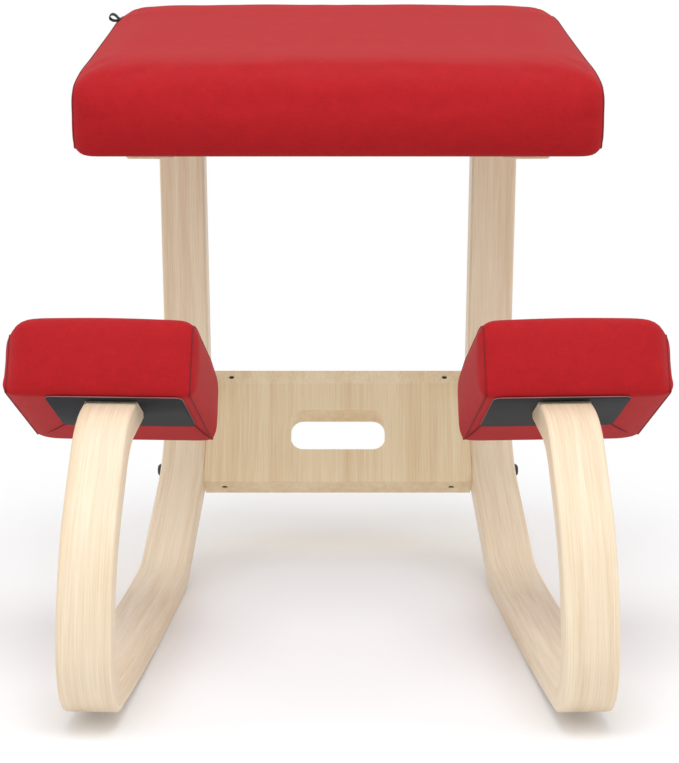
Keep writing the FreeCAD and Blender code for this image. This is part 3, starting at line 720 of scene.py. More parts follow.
def wood_group():
    """Grain of pale laminated wood: x of Place runs along the grain, y across it and z through the plies."""
    name = "Laminated Wood"
    if name in bpy.data.node_groups:
        return bpy.data.node_groups[name]
    tree, given, out = new_group(
        name,
        (("Place", "Vector", (0, 0, 0)), ("Edge", "Float", 0.0), ("Pale", "Color", WHITE),
         ("Dark", "Color", BLACK), ("Figure", "Float", 1.0), ("Ply", "Float", 0.0015)),
        (("Color", "Color"), ("Roughness", "Float"), ("Height", "Float")))
    place = given["Place"]
    fine = noise(tree, place, (16, 900, 900), 4.0, 0.6)
    broad = noise(tree, place, (4, 130, 130))
    bands = noise(tree, place, (1.6, 34, 34), 2.0)
    pores = noise(tree, place, (90, 2600, 2600), 2.0)
    grain = (fine * 0.42 + broad * 0.34 + bands * 0.24).ranged(0.36, 0.66)
    grain = grain.math("MULTIPLY", given["Figure"], clamp=True)
    dash = pores.ranged(0.60, 0.72, kind="LINEAR") * 0.16
    body = mixed(tree, grain, given["Pale"], given["Dark"])
    body = mixed(tree, dash, body, given["Dark"], "MULTIPLY")
    depth = Value(tree, node(tree, "SeparateXYZ", Vector=place).outputs[2])
    layer = (depth + (bands - 0.5) * PLY_WANDER) / given["Ply"]
    joint = layer.math("PINGPONG", 0.5).ranged(0.0, 0.12, 1.0, 0.0)
    turned = layer.math("FLOOR") % 2.0 * 0.35
    lines = (joint * 0.5 + turned).math("MULTIPLY", given["Edge"], clamp=True)
    join(tree, mixed(tree, lines, body, given["Dark"]), out["Color"])
    join(tree, grain.ranged(0.0, 1.0, 0.42, 0.56, "LINEAR"), out["Roughness"])
    join(tree, fine * -0.5 - dash, out["Height"])
    return tree


def weave_group():
    """Plain weave of soft, slightly uneven threads, over a place in metres. Its deep colour is painted shade
    where the threads sink, mixed with real uneven tone of the threads.
    """
    name = "Woven Cloth"
    if name in bpy.data.node_groups:
        return bpy.data.node_groups[name]
    tree, given, out = new_group(
        name,
        (("Place", "Vector", (0, 0, 0)), ("Thread", "Float", 0.0011), ("Light", "Color", WHITE),
         ("Deep", "Color", BLACK), ("Unevenness", "Float", 0.5)),
        (("Color", "Color"), ("Height", "Float")))
    place = given["Place"]
    bend = node(tree, "TexNoise", Vector=place, Scale=90.0, Detail=2.0).outputs[1]
    bend = moved(tree, "SUBTRACT", bend, in_1=(0.5, 0.5, 0.5))
    bent = moved(tree, "ADD", place, in_1=moved(tree, "SCALE", bend, Scale=THREAD_WANDER))
    parts = node(tree, "SeparateXYZ", Vector=bent).outputs
    across, along = (Value(tree, parts[axis]) / given["Thread"] for axis in (0, 1))
    warp, weft = ((count * math.pi).math("SINE").math("ABSOLUTE") for count in (across, along))
    over = (across.math("FLOOR") + along.math("FLOOR")) % 2.0
    top = warp * (over * 0.5 + 0.5)
    side = weft * (over * -0.5 + 1.0)
    height = top.math("MAXIMUM", side)
    slubs = noise(tree, place, (900, 120, 500), 2.0, 0.55)
    slivers = noise(tree, place, (120, 900, 500), 2.0, 0.55)
    patches = noise(tree, place, (60, 60, 60), 3.0, 0.55)
    uneven = (slubs + slivers + patches).ranged(1.1, 1.9, -0.5, 0.5, "LINEAR") * given["Unevenness"]
    # Painted shade: the deep colour goes where the weave sinks, on lower threads and in gaps; the unevenness
    # adds real random tone of the threads.
    share = (height * 0.55 + uneven).math("ADD", 0.2, clamp=True)
    join(tree, mixed(tree, share, given["Deep"], given["Light"]), out["Color"])
    join(tree, height + slubs * 0.6, out["Height"])
    return tree


def speckle_group():
    """Fine mottling of a coated, cast or felted surface."""
    name = "Fine Mottling"
    if name in bpy.data.node_groups:
        return bpy.data.node_groups[name]
    tree, given, out = new_group(
        name,
        (("Scale", "Float", 400.0), ("Tone", "Color", (0.5, 0.5, 0.5, 1)), ("Contrast", "Float", 0.3),
         ("Roughness", "Float", 0.5)),
        (("Color", "Color"), ("Roughness", "Float"), ("Height", "Float")))
    place = node(tree, "TexCoord").outputs["Object"]
    grain = noise(tree, place, given["Scale"], 4.0, 0.6)
    swing = (grain + noise(tree, place, 30.0, 2.0) - 1.0) * given["Contrast"]
    join(tree, moved(tree, "SCALE", given["Tone"], Scale=swing * 2.0 + 1.0), out["Color"])
    join(tree, (swing * 0.5).math("ADD", given["Roughness"], clamp=True), out["Roughness"])
    join(tree, grain, out["Height"])
    return tree


def new_material(name, display):
    """A material with its Principled shader, and the shader's node."""
    material = bpy.data.materials.new(name)
    material.use_nodes = True
    material.diffuse_color = (*display, 1)
    return material, material.node_tree, material.node_tree.nodes["Principled BSDF"]


def surface_from(tree, shader, group, relief, distance, **inputs):
    """Take a surface from a group: its colour, its relief and, if the group gives it, its roughness."""
    raised = node(tree, "Bump", Strength=relief, Distance=distance, Height=group.outputs["Height"])
    inputs.update(Base_Color=group.outputs["Color"], Normal=raised.outputs[0])
    if "Roughness" in group.outputs:
        inputs["Roughness"] = group.outputs["Roughness"]
    for name, value in inputs.items():
        join(tree, value, shader.inputs[name.replace("_", " ")])


def wood_material(name, edge, figure, ply_thick, pale, dark):
    """Lacquered laminated wood; its maps are grain (along, across) and ply (depth, share of edge)."""
    if name in bpy.data.materials:
        return bpy.data.materials[name]
    material, tree, shader = new_material(name, pale)
    maps = (node(tree, "UVMap", {"uv_map": label}).outputs[0] for label in ("grain", "ply"))
    grain, ply = (node(tree, "SeparateXYZ", Vector=value).outputs for value in maps)
    place = node(tree, "CombineXYZ", X=grain[0], Y=grain[1], Z=ply[0]).outputs[0]
    wood = node(tree, "Group", {"node_tree": wood_group()}, Place=place, Edge=Value(tree, ply[1]) * edge,
                Pale=(*pale, 1), Dark=(*dark, 1), Figure=figure, Ply=ply_thick)
    surface_from(tree, shader, wood, 0.12, FINE_RELIEF, Coat_Weight=0.12, Coat_Roughness=0.35)
    return material


def cloth_material(covers, finish):
    """Red woven upholstery."""
    name = "red woven fabric"
    if name in bpy.data.materials:
        return bpy.data.materials[name]
    material, tree, shader = new_material(name, finish.cloth_light)
    place = node(tree, "UVMap", {"uv_map": "weave"}).outputs[0]
    weave = node(tree, "Group", {"node_tree": weave_group()}, Place=place, Thread=covers.thread,
                 Light=(*finish.cloth_light, 1), Deep=(*finish.cloth_deep, 1), Unevenness=0.55)
    surface_from(tree, shader, weave, 0.3, WEAVE_RELIEF, Roughness=0.82, Specular_IOR_Level=0.15,
                 Sheen_Weight=0.07, Sheen_Roughness=0.45, Sheen_Tint=(1.0, 0.72, 0.68, 1.0))
    return material


def plain_material(name, tone, roughness, scale, contrast, metallic=0.0, relief=0.1):
    """A mottled finish of one colour: coated or plated steel, plastic, felted cloth or thread."""
    if name in bpy.data.materials:
        return bpy.data.materials[name]
    material, tree, shader = new_material(name, tone)
    speckle = node(tree, "Group", {"node_tree": speckle_group()}, Scale=scale, Tone=(*tone, 1),
                   Contrast=contrast, Roughness=roughness)
    surface_from(tree, shader, speckle, relief, FINE_RELIEF, Metallic=metallic)
    return material


def crease_shade_material(finish):
    """Dark red of the covers' seams and corner folds: the seams and folds are real, their dark colour is
    painted shade in their grooves and creases.
    """
    return plain_material("sewn seam", finish.seam, 0.9, 1500.0, 0.4)


def dress(piece, material):
    """Give a whole piece one material."""
    piece.data.materials.clear()
    piece.data.materials.append(material)


def dress_nodes(material, *names):
    """Give kept pieces of the frame their finish."""
    for name in names:
        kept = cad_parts[name]
        for slot in kept.material_slots:
            slot.material = material
        if not kept.material_slots:
            kept.data.materials.append(material)


# Pieces


def strip_ring(low, high, width, low_radius, high_radius, steps=4):
    """One section of the strip: depth, place across and share of edge, round its four corners."""
    points = []
    corners = ((low + low_radius, width - low_radius, low_radius, 180),
               (high - high_radius, width - high_radius, high_radius, 90),
               (high - high_radius, high_radius, high_radius, 0),
               (low + low_radius, low_radius, low_radius, -90))
    for depth, across, radius, start in corners:
        for step in range(steps + 1):
            turn = math.radians(start - 90 * step / steps)
            points.append((depth + radius * math.cos(turn), across + radius * math.sin(turn),
                           math.sin(turn) ** 2))
    return points


class CHAIR_OT_runners(bpy.types.Operator):
    """Build the two bent strips, with their planed ends and the seats of the washers"""

    bl_idname = "chair.runners"
    bl_label = "Runners"

    def execute(self, context):
        scene = context.scene
        settings, finish = scene.chair_runner, scene.chair_finish
        places = Places(scene)
        outer = np.vstack([places.rear[::-1], places.front[1:]])
        inward = np.vstack([
            np.column_stack([np.sin(places.rear_headings), np.cos(places.rear_headings)])[::-1],
            np.column_stack([-np.sin(places.front_headings), np.cos(places.front_headings)])[1:]])
        along = np.concatenate([[0], np.cumsum(np.linalg.norm(np.diff(outer, axis=0), axis=1))])
        edge = settings.edge
        rows = []
        start = np.array((inward[0][1], -inward[0][0]))
        for share in REAR_END_SHARES:
            pull = edge * (1 - math.sqrt(1 - share**2))
            shift = edge * (1 - share)
            rows.append((outer[0] + start * shift, inward[0], shift, pull, settings.thick - pull, pull,
                         edge))
        for index in range(1, len(outer)):
            rows.append((outer[index], inward[index], along[index], 0.0, settings.thick, 0.0, edge))
        wedge = math.pi - settings.loop_slope + scene.chair_knee.slope
        reach = (settings.thick - settings.tip) / math.tan(wedge)
        heading = np.array((math.cos(settings.loop_slope), math.sin(settings.loop_slope)))
        for share in TIP_SHARES:
            pull = 0.25 * edge if share == 1.0 else 0.0
            rows.append((outer[-1] + heading * reach * share, inward[-1], along[-1] + reach * share,
                         reach * share * math.tan(wedge) + pull, settings.thick - pull, pull, TIP_EASING))
        points, grain, ply = [], [], []
        for point, side, distance, low, high, pull, low_radius in rows:
            high_radius = min(edge, (high - low) / 2.2)
            ring = strip_ring(low, high, settings.width - 2 * pull, low_radius, high_radius)
            for depth, across, share in ring:
                spot = point + side * depth
                points.append((spot[0], spot[1], across + pull))
                grain.append((distance, across + pull))
                ply.append((depth, share))
        faces = ring_faces(len(rows), len(points) // len(rows))
        left = make_piece("left_bent_strip", placed(places.runner, points), faces,
                          {"grain": by_corner(faces, grain), "ply": by_corner(faces, ply)})
        face_outward(left)
        seat, knee = scene.chair_seat, scene.chair_knee
        washer = scene.chair_fastener.washer / 2
        tools = [
            rods(name, [place @ frame_at((x, y, 0)) for x, y in spots], washer, -TOOL_REACH, -wood)
            for name, place, spots, wood in (
                ("seat_washer_tool", places.seat, places.seat_bolts, seat.bolt_wood),
                ("knee_washer_tool", places.knee, places.knee_bolts, knee.bolt_wood))]
        carve(left, *tools)
        even_shading(left, math.radians(50))
        right = mirror_piece(left, "right_bent_strip")
        layer = right.data.uv_layers["grain"]
        values = np.empty(len(layer.uv) * 2, np.float32)
        layer.uv.foreach_get("vector", values)
        values[0::2] += RIGHT_GRAIN
        layer.uv.foreach_set("vector", values)
        material = wood_material("laminated wood", 0.45, 0.95, settings.ply, finish.wood_pale,
                                 finish.wood_dark)
        for piece, name in ((left, "left_runner"), (right, "right_runner")):
            dress(piece, material)
            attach(piece, "root")
            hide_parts(name)
        return {"FINISHED"}


class CHAIR_OT_crossboard(bpy.types.Operator):
    """Build the crossboard with its bevel, hand slot, pin holes and nut pockets"""

    bl_idname = "chair.crossboard"
    bl_label = "Crossboard"

    def execute(self, context):
        scene = context.scene
        settings, runner = scene.chair_board, scene.chair_runner
        places = Places(scene)
        half = settings.thick / 2
        length_up = settings.length
        profile = ((0, -half), (length_up, -half), (length_up, half - settings.bevel_depth),
                   (length_up - settings.bevel, half), (0, half))

        def end_x(rise, depth):
            spot = placed(places.board, (0, rise, depth))
            return runner.gap / 2 - (spot[1] - places.reference) * math.tan(runner.toe_out)

        points = [(side * end_x(y, z), y, z) for side in (-1, 1) for y, z in profile]
        piece = make_piece("slotted_board", points, ring_faces(2, len(profile)))
        face_outward(piece)

        outline = rounded_outline((-settings.slot_width / 2, settings.slot_start),
                                  (settings.slot_width / 2, settings.slot_start + settings.slot_height),
                                  settings.slot_corner, 10)
        slot = prism("slot_tool", outline, -settings.thick, settings.thick)

        pockets, pins = [], []
        inside = np.linalg.inv(places.board)
        for u, z in places.cross_bolts:
            axis = inside @ np.append(placed(places.runner, (u, z, -settings.barrel_inset)), 1)
            for side in (1, -1):
                pockets.append(frame_at((side * axis[0], axis[1], axis[2])))
        tilt = math.atan2(settings.bevel_depth, settings.bevel)
        spots = ((0.0, 0.0, (0, 1, 0)),
                 (length_up - settings.bevel / 2, half - settings.bevel_depth / 2,
                  (0, -math.sin(tilt), -math.cos(tilt))))
        for rise, depth, direction in spots:
            x = end_x(rise, depth) - settings.pin_inset
            third = np.array(direction, float)
            second = np.cross(third, (1, 0, 0))
            for side in (1, -1):
                pins.append(frame_at((side * x, rise, depth), (1, 0, 0), second, third))
        carve(piece, slot,
              rods("pocket_tool", pockets, settings.barrel / 2 + NUT_PLAY, -POCKET_REACH,
                   settings.barrel_length / 2),
              rods("pin_tool", pins, settings.pin / 2 + PIN_PLAY, -PIN_REACH, settings.pin_depth, 24))
        ease = piece.modifiers.new("Eased Edges", "BEVEL")
        ease.width = settings.edge
        ease.segments = 2
        ease.limit_method = "ANGLE"
        ease.angle_limit = math.radians(20)
        ease.use_clamp_overlap = True
        apply_modifiers(piece)
        mesh = piece.data
        local = mesh_points(mesh)
        corners = np.empty(len(mesh.loops), int)
        mesh.loops.foreach_get("vertex_index", corners)
        edges = np.empty(len(mesh.loops))
        for face in mesh.polygons:
            edges[face.loop_start:face.loop_start + face.loop_total] = 1 - abs(face.normal.z) ** 4
        for label, values in (("grain", local[corners][:, [1, 0]] + BOARD_GRAIN),
                              ("ply", np.column_stack([local[corners][:, 2], edges]))):
            layer = mesh.uv_layers.get(label) or mesh.uv_layers.new(name=label)
            layer.uv.foreach_set("vector", values.astype(np.float32).ravel())
        set_points(mesh, placed(places.board, local))
        even_shading(piece)
        finish = scene.chair_finish
        dress(piece, wood_material("board wood", 0.3, 1.0, runner.ply, finish.board_pale,
                                   finish.board_dark))
        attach(piece, "root")
        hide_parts("crossboard")
        return {"FINISHED"}


def cushion_profile(front, back, low, high, roll, front_shape, spacing):
    """Closed side profile of a cushion, evenly spaced, from the middle of its front down and round.

    Its front edge hangs below the underside by the roll.
    """
    tall = high - low
    third = (back - front) / 3
    rising = [(inset, low + share * tall) for share, inset in CUSHION_SHAPE]
    leading = [(inset, low + share * tall - roll * (1 - share) ** 6) for share, inset in front_shape]
    points = [(front + inset, z) for inset, z in leading[:4][::-1]]
    points += [(front + FRONT_HANG[0], low - roll * FRONT_HANG[1]), (front + FRONT_UNDERSIDE, low)]
    points += [(front + third, low), (back - third, low)]
    points += [(back - inset, z) for inset, z in rising]
    points += [(back - third, high), (front + third, high)]
    points += [(front + inset, z) for inset, z in leading[4:][::-1]]
    line = smooth_line(points, closed=True)
    lowest = np.where(line[:, 0] < front + FRONT_UNDERSIDE, low - roll, low)
    line[:, 1] = np.maximum(line[:, 1], lowest)
    count = 2 * round(even_loop(line, 2)[1] / spacing / 2)
    return even_loop(line, count)


def cushion_mesh(name, half_width, profile, girth, settings, ends, covers):
    """Sewn cover of a cushion, and the points of its seams.

    It is a wrap with a stuffed panel at each end. The ends give the shoulder and the drop of each seam.
    """
    size = len(profile)
    step = girth / size
    tangent = np.roll(profile, -1, 0) - np.roll(profile, 1, 0)
    normal = np.column_stack([tangent[:, 1], -tangent[:, 0]])
    normal /= np.linalg.norm(normal, axis=1)[:, None]
    centre = profile.mean(0)
    if ((profile - centre) * normal).sum() < 0:
        normal = -normal
    halves = half_width(profile[:, 0]) - settings.bulge
    columns = 2 * round(halves.mean() / covers.spacing / 2)
    shares = np.linspace(-1, 1, columns + 1)
    # Columns crowd together towards the seams, where the wrap draws in.
    shares = np.sign(shares) * (1 - (1 - np.abs(shares)) ** CROWDING)
    top = np.clip(normal[:, 1], 0, 1) ** 2
    share_drawn = 1 - (1 - settings.under_share) * np.clip(-normal[:, 1], 0, 1)
    points, faces, weave = [], [], []
    for share in shares:
        shoulder, drop = ends[0] if share < 0 else ends[1]
        inset = np.clip(1 - (1 - abs(share)) * halves / shoulder, 0, 1)
        drawn = drop * share_drawn * (1 - np.sqrt(1 - inset**2)) + settings.crown * share**2 * top
        flat = profile - normal * drawn[:, None]
        points.append(np.column_stack([share * halves, flat]))
    for row in range(len(shares) - 1):
        for k in range(size):
            after = (k + 1) % size
            start = row * size
            faces.append([start + k, start + after, start + size + after, start + size + k])
            for r, c in ((row, k), (row, k + 1), (row + 1, k + 1), (row + 1, k)):
                weave.append((c * step, shares[r] * halves[c % size]))
    low, high = profile.min(0), profile.max(0)
    half_tall = (high[1] - low[1]) / 2
    spine = np.column_stack([np.clip(profile[:, 0], low[0] + half_tall, high[0] - half_tall),
                             np.full(size, low[1] + half_tall)])

    def add_panel_face(side, corners):
        """A face of an end panel from the row and the column of its corners."""
        corners = corners if side > 0 else corners[::-1]
        faces.append([r * size + c for r, c in corners])
        weave.extend((points[r][c][1] + 2.0, points[r][c][2] + side) for r, c in corners)

    seam_rows = (0, len(shares) - 1)
    for side, seam_row in zip((-1, 1), seam_rows):
        edge = points[seam_row]
        last = seam_row
        for level in PANEL_LEVELS:
            flat = edge[:, 1:] * (1 - level) + spine * level
            distance = np.linalg.norm(edge[:, 1:] - flat, axis=1)
            hollow = (1 - np.clip(distance / PANEL_SWELL, 0, 1)) ** PANEL_FULLNESS
            outline = half_width(flat[:, 0]) - settings.bulge * hollow
            points.append(np.column_stack([side * outline, flat]))
            row = len(points) - 1
            for k in range(size):
                after = (k + 1) % size
                add_panel_face(side, [(last, k), (last, after), (row, after), (row, k)])
            last = row
        for k in range(size // 2 - 1):
            add_panel_face(side, [(last, k), (last, k + 1), (last, size - 2 - k), (last, size - 1 - k)])
    piece = make_piece(name, np.vstack(points), faces, {"weave": weave})
    face_outward(piece)
    return piece, [list(range(row * size, (row + 1) * size)) for row in seam_rows]


def puff_up(piece, held, covers):
    """Swell a cover with the held points fixed, and no point moved further than the limit."""
    rest = mesh_points(piece.data)
    group = piece.vertex_groups.new(name="held")
    group.add(held, 1.0, "REPLACE")
    modifier = piece.modifiers.new("Cloth", "CLOTH")
    cloth = modifier.settings
    cloth.quality = 6
    cloth.mass = 0.4
    cloth.tension_stiffness = cloth.compression_stiffness = 25
    cloth.shear_stiffness = 12
    cloth.bending_stiffness = 2
    cloth.vertex_group_mass = "held"
    cloth.use_pressure = True
    cloth.uniform_pressure_force = 4
    cloth.effector_weights.gravity = 0
    modifier.point_cache.frame_start = 1
    modifier.point_cache.frame_end = covers.frames
    scene = bpy.context.scene
    for number in range(1, covers.frames + 1):
        scene.frame_set(number)
    depsgraph = bpy.context.evaluated_depsgraph_get()
    swollen = mesh_points(piece.evaluated_get(depsgraph).data)
    shift = swollen - rest
    far = np.linalg.norm(shift, axis=1)
    shift *= (covers.puff * np.tanh(far / covers.puff) / np.maximum(far, 1e-9))[:, None]
    piece.modifiers.remove(modifier)
    piece.vertex_groups.remove(group)
    scene.frame_set(1)
    set_points(piece.data, rest + shift)


def finish_cover(piece, seams, covers):
    """Stuff a cover, crease its seams and smooth it. The underside and the seams stay where they are."""
    points = mesh_points(piece.data)
    held = set(index for seam in seams for index in seam)
    underside = points[:, 2] < covers.lining_thick + HELD_ABOVE
    held.update(int(index) for index in np.nonzero(underside)[0])
    puff_up(piece, sorted(held), covers)
    shape = bmesh.new()
    shape.from_mesh(piece.data)
    crease = shape.edges.layers.float.new("crease_edge")
    sewn = [set(seam) for seam in seams]
    for edge in shape.edges:
        ends = {vertex.index for vertex in edge.verts}
        if any(ends <= seam for seam in sewn):
            edge[crease] = 1.0
    shape.to_mesh(piece.data)
    shape.free()
    smooth = piece.modifiers.new("Smooth", "SUBSURF")
    smooth.levels = smooth.render_levels = 1
    return [mesh_points(piece.data)[seam] for seam in seams]


def sew_cushion(prefix, place, half_width, outline, settings, ends, covers, finish):
    """Stuffed cover and seams of one cushion, in place, and the points of its seams before that."""
    piece, seams = cushion_mesh(prefix + "_cushion", half_width, *outline, settings, ends, covers)
    seam_lines = finish_cover(piece, seams, covers)
    set_points(piece.data, placed(place, mesh_points(piece.data)))
    dress(piece, cloth_material(covers, finish))
    sewn = tube(prefix + "_seams", [placed(place, line) for line in seam_lines], covers.seam / 2, True)
    # The seams' dark red is painted shade in their grooves.
    dress(sewn, crease_shade_material(finish))
    return piece, sewn, seam_lines


def line_cushion(prefix, place, low, high, corners, covers, finish):
    """Lining, hem edge and corner folds of one cushion."""
    outline = rounded_outline(low, high, covers.lining_corner)
    lining = prism(prefix + "_underside_cloth", outline, LINING_LIFT,
                   covers.lining_thick)
    lip = np.column_stack([outline, np.full(len(outline), covers.lining_thick * 0.75)])
    hem = tube(prefix + "_hem_edge", [lip], covers.hem / 2, True)
    folds = []
    for inner, outer in corners:
        start = np.array((*inner, covers.lining_thick * 0.8))
        middle = start + (outer - start) * (0.55, 0.55, 0.1)
        folds.append(smooth_line([start, middle, outer]))
    fold = tube(prefix + "_corner_folds", folds, covers.seam / 2, False)
    for piece in (lining, hem, fold):
        set_points(piece.data, placed(place, mesh_points(piece.data)))
    dress(lining, plain_material("underside cloth", finish.lining, 0.9, 900.0, 0.5, relief=0.4))
    dress(hem, plain_material("hem edge", finish.hem, 0.9, 1500.0, 0.4))
    # The folds are dark red lines: painted shade in the cover's creases at the lining corners.
    dress(fold, crease_shade_material(finish))
    return lining, hem, fold


def seam_corner(seam_lines, side, depth, floor):
    """Point of the seam on one side that is nearest to the lower edge at a depth."""
    line = next(line for line in seam_lines if line[:, 0].mean() * side > 0)
    return line[np.argmin(np.hypot(line[:, 1] - depth, line[:, 2] - floor))]


class CHAIR_OT_seat(bpy.types.Operator):
    """Build the seat cushion with its seams, lining and plain tag"""

    bl_idname = "chair.seat"
    bl_label = "Seat"

    def execute(self, context):
        scene = context.scene
        settings, covers, finish = scene.chair_seat, scene.chair_cover, scene.chair_finish
        places = Places(scene)
        taper = (settings.front_width - settings.back_width) / 2 / settings.depth

        def half_width(y):
            return settings.back_width / 2 - y * taper

        outline = cushion_profile(-settings.depth, 0.0, covers.lining_thick, settings.height,
                                  settings.roll, CUSHION_SHAPE, covers.spacing)
        piece, sewn, seam_lines = sew_cushion("seat", places.seat, half_width, outline, settings,
                                              [(settings.shoulder, settings.drop)] * 2, covers, finish)
        margin = settings.lining_margin
        low = (margin - settings.back_width / 2, margin - settings.depth)
        high = (settings.back_width / 2 - margin, -margin)
        corners = []
        for x_side in (-1, 1):
            for y_end, edge_y in ((low[1], -settings.depth), (high[1], 0.0)):
                corners.append(((x_side * (high[0] - FOLD_INSET), y_end),
                                seam_corner(seam_lines, x_side, edge_y, covers.lining_thick)))
        lining, hem, fold = line_cushion("seat", places.seat, low, high, corners, covers, finish)
        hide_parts("seat_cover", "seat_foam")
        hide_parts("seat_lining")
        tag = self.make_tag(places.seat, half_width, settings)
        dress(tag, plain_material("plain tag", finish.tag, 0.75, 1200.0, 0.4))
        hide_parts("seat_tag")
        for part in (piece, sewn, lining, hem, fold, tag):
            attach(part, "root")
        return {"FINISHED"}

    @staticmethod
    def make_tag(place, half_width, settings):
        """A loop of tape whose two ends run into the upper seam."""
        edge = half_width(-settings.tag_back) - settings.bulge
        below = [(TAPE_ROOT, -TAPE_LOOP[0][1])]
        below += [(-share * settings.tag_reach, -gap) for share, gap in TAPE_LOOP]
        loop = below + [(-settings.tag_reach, 0)] + [(x, -z) for x, z in below[::-1]]
        line = smooth_line(loop, samples=5)
        tangent = np.gradient(line, axis=0)
        normal = np.column_stack([tangent[:, 1], -tangent[:, 0]])
        normal *= TAPE_THICK / 2 / np.linalg.norm(normal, axis=1)[:, None]
        ring = np.vstack([line + normal, (line - normal)[::-1]])
        lift = math.radians(25)
        ring = ring @ np.array(((math.cos(lift), -math.sin(lift)), (math.sin(lift), math.cos(lift))))
        ring += (-edge, settings.tag_rise)
        size = len(ring)
        points = [(x, y, z) for y in (-settings.tag_back - settings.tag_width, -settings.tag_back)
                  for x, z in ring]
        faces = [[k, (k + 1) % size, size + (k + 1) % size, size + k] for k in range(size)]
        for first in (0, size):
            faces += [[first + k, first + k + 1, first + size - 2 - k, first + size - 1 - k]
                      for k in range(size // 2 - 1)]
        tag = make_piece("seat_tape_tag", placed(place, points), faces)
        face_outward(tag)
        even_shading(tag, math.radians(60))
        return tag


class CHAIR_OT_knee_pads(bpy.types.Operator):
    """Build both knee pads with their end panels, seams and linings"""

    bl_idname = "chair.knee_pads"
    bl_label = "Knee Pads"

    def execute(self, context):
        scene = context.scene
        settings, covers, finish = scene.chair_knee, scene.chair_cover, scene.chair_finish
        places = Places(scene)

        def half_width(y):
            return np.full(np.shape(y), settings.width / 2)

        outline = cushion_profile(0.0, settings.depth, covers.lining_thick, settings.height,
                                  settings.roll, KNEE_FRONT, covers.spacing * 0.9)
        ends = ((settings.outer_shoulder, settings.outer_drop), (settings.shoulder, settings.drop))
        piece, sewn, seam_lines = sew_cushion("left_knee", places.knee, half_width, outline, settings, ends,
                                              covers, finish)
        high_x = settings.width / 2 - settings.lining_inset
        low = (high_x - settings.lining_width, settings.lining_front)
        high = (high_x, settings.lining_front + settings.lining_depth)
        corners = [((x, high[1]), seam_corner(seam_lines, side, settings.depth, covers.lining_thick))
                   for side, x in ((1, high[0] - FOLD_INSET), (-1, low[0] + FOLD_INSET))]
        lining, hem, fold = line_cushion("left_knee", places.knee, low, high, corners, covers, finish)
        for part, name, node_names, slot in (
                (piece, "knee_cushion", ("knee_cover", "knee_foam"), "red_fabric"),
                (sewn, "knee_seams", (), "red_fabric"), (hem, "knee_hem_edge", (), "red_fabric"),
                (fold, "knee_corner_folds", (), "red_fabric"),
                (lining, "knee_underside_cloth", ("knee_lining",), "dark_lining")):
            twin = mirror_piece(part, "right_" + name)
            for side, copy in (("left_", part), ("right_", twin)):
                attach(copy, "root")
                if node_names:
                    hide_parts(*(side + node_name for node_name in node_names))
                name == "knee_cushion"
                if name == "knee_underside_cloth":
                    side + "knee_board"
        return {"FINISHED"}


class CHAIR_OT_fastenings(bpy.types.Operator):
    """Build the domed bolts of the crossboard and finish the other metal and hidden pieces"""

    bl_idname = "chair.fastenings"
    bl_label = "Fastenings"

    def execute(self, context):
        scene = context.scene
        settings, finish = scene.chair_fastener, scene.chair_finish
        places = Places(scene)
        black = plain_material("black coated steel", finish.black, 0.38, 1500.0, 0.35)
        zinc = plain_material("zinc plate", finish.zinc, 0.34, 900.0, 0.2, metallic=1.0)
        frames = []
        for u, z in places.cross_bolts:
            left = places.runner @ frame_at((u, z, scene.chair_runner.width), (1, 0, 0), (0, -1, 0),
                                            (0, 0, -1))
            frames.append(left)
            right = np.diag((-1.0, 1.0, 1.0, 1.0)) @ left
            right[:3, 0] *= -1
            frames.append(right)
        bolts = self.button_bolts("crossboard_button_bolts", frames, settings, settings.cross_bolt)
        dress(bolts, black)
        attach(bolts, "root")
        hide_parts("crossboard_bolts")
        # Near-black pins: painted shade of the holes in the board.
        pins = plain_material("dark pins", finish.pin, 0.6, 900.0, 0.5)
        bare = tuple(0.8 * value for value in finish.wood_dark)
        plies = plain_material("bare plywood", bare, 0.7, 300.0, 0.3)
        dress_nodes(black, "seat_bolts", "left_knee_bolts", "right_knee_bolts")
        dress_nodes(zinc, "crossboard_barrel_nuts", "seat_washers", "seat_tee_nuts", "left_knee_washers",
                    "right_knee_washers", "left_knee_tee_nuts", "right_knee_tee_nuts")
        dress_nodes(pins, "crossboard_pins")
        dress_nodes(plies, "seat_board", "left_knee_board", "right_knee_board")
        return {"FINISHED"}

    @staticmethod
    def button_bolts(name, frames, settings, shank_length):
        """Domed heads with hexagon sockets on plain shanks, from the underside of the head along +z."""
        sides = 36
        turns = np.arange(sides) * 2 * math.pi / sides
        sixth = math.pi / 3
        flats = settings.socket / 2 / np.cos((turns % sixth) - sixth / 2)
        around = np.ones(sides)
        head, tall, shank = settings.head / 2, settings.head_height, settings.shank / 2
        rings = [(flats * 0.3, -tall + settings.socket_depth), (flats, -tall + settings.socket_depth),
                 (flats, -tall + SOCKET_EASING), (flats * 1.08, -tall)]
        dome = (tall - DOME_RIM) * 0.98 / math.sin(math.radians(DOME_ANGLES[0]))
        for turn in np.radians(DOME_ANGLES):
            rings.append((around * head * (0.42 + 0.58 * math.cos(turn)), -DOME_RIM - dome * math.sin(turn)))
        rings += [(around * head, -HEAD_EASING), (around * (head - HEAD_EASING), 0.0),
                  (around * shank, 0.0), (around * shank, shank_length - SHANK_EASING),
                  (around * (shank - SHANK_EASING), shank_length)]
        points, faces = [], []
        for place in frames:
            faces += ring_faces(len(rings), sides, len(points))
            for radius, z in rings:
                points += list(placed(place, np.column_stack(
                    [radius * np.cos(turns), radius * np.sin(turns), np.full(sides, z)])))
        piece = make_piece(name, points, faces)
        face_outward(piece)
        even_shading(piece, math.radians(40))
        return piece


def seen_directly(tree):
    """1 for rays that the camera sends out or that a mirror or glass passes on, else 0."""
    rays = node(tree, "LightPath").outputs
    passed = Value(tree, rays["Is Glossy Ray"]).math("MAXIMUM", rays["Is Transmission Ray"])
    return passed.math("MAXIMUM", rays["Is Camera Ray"])


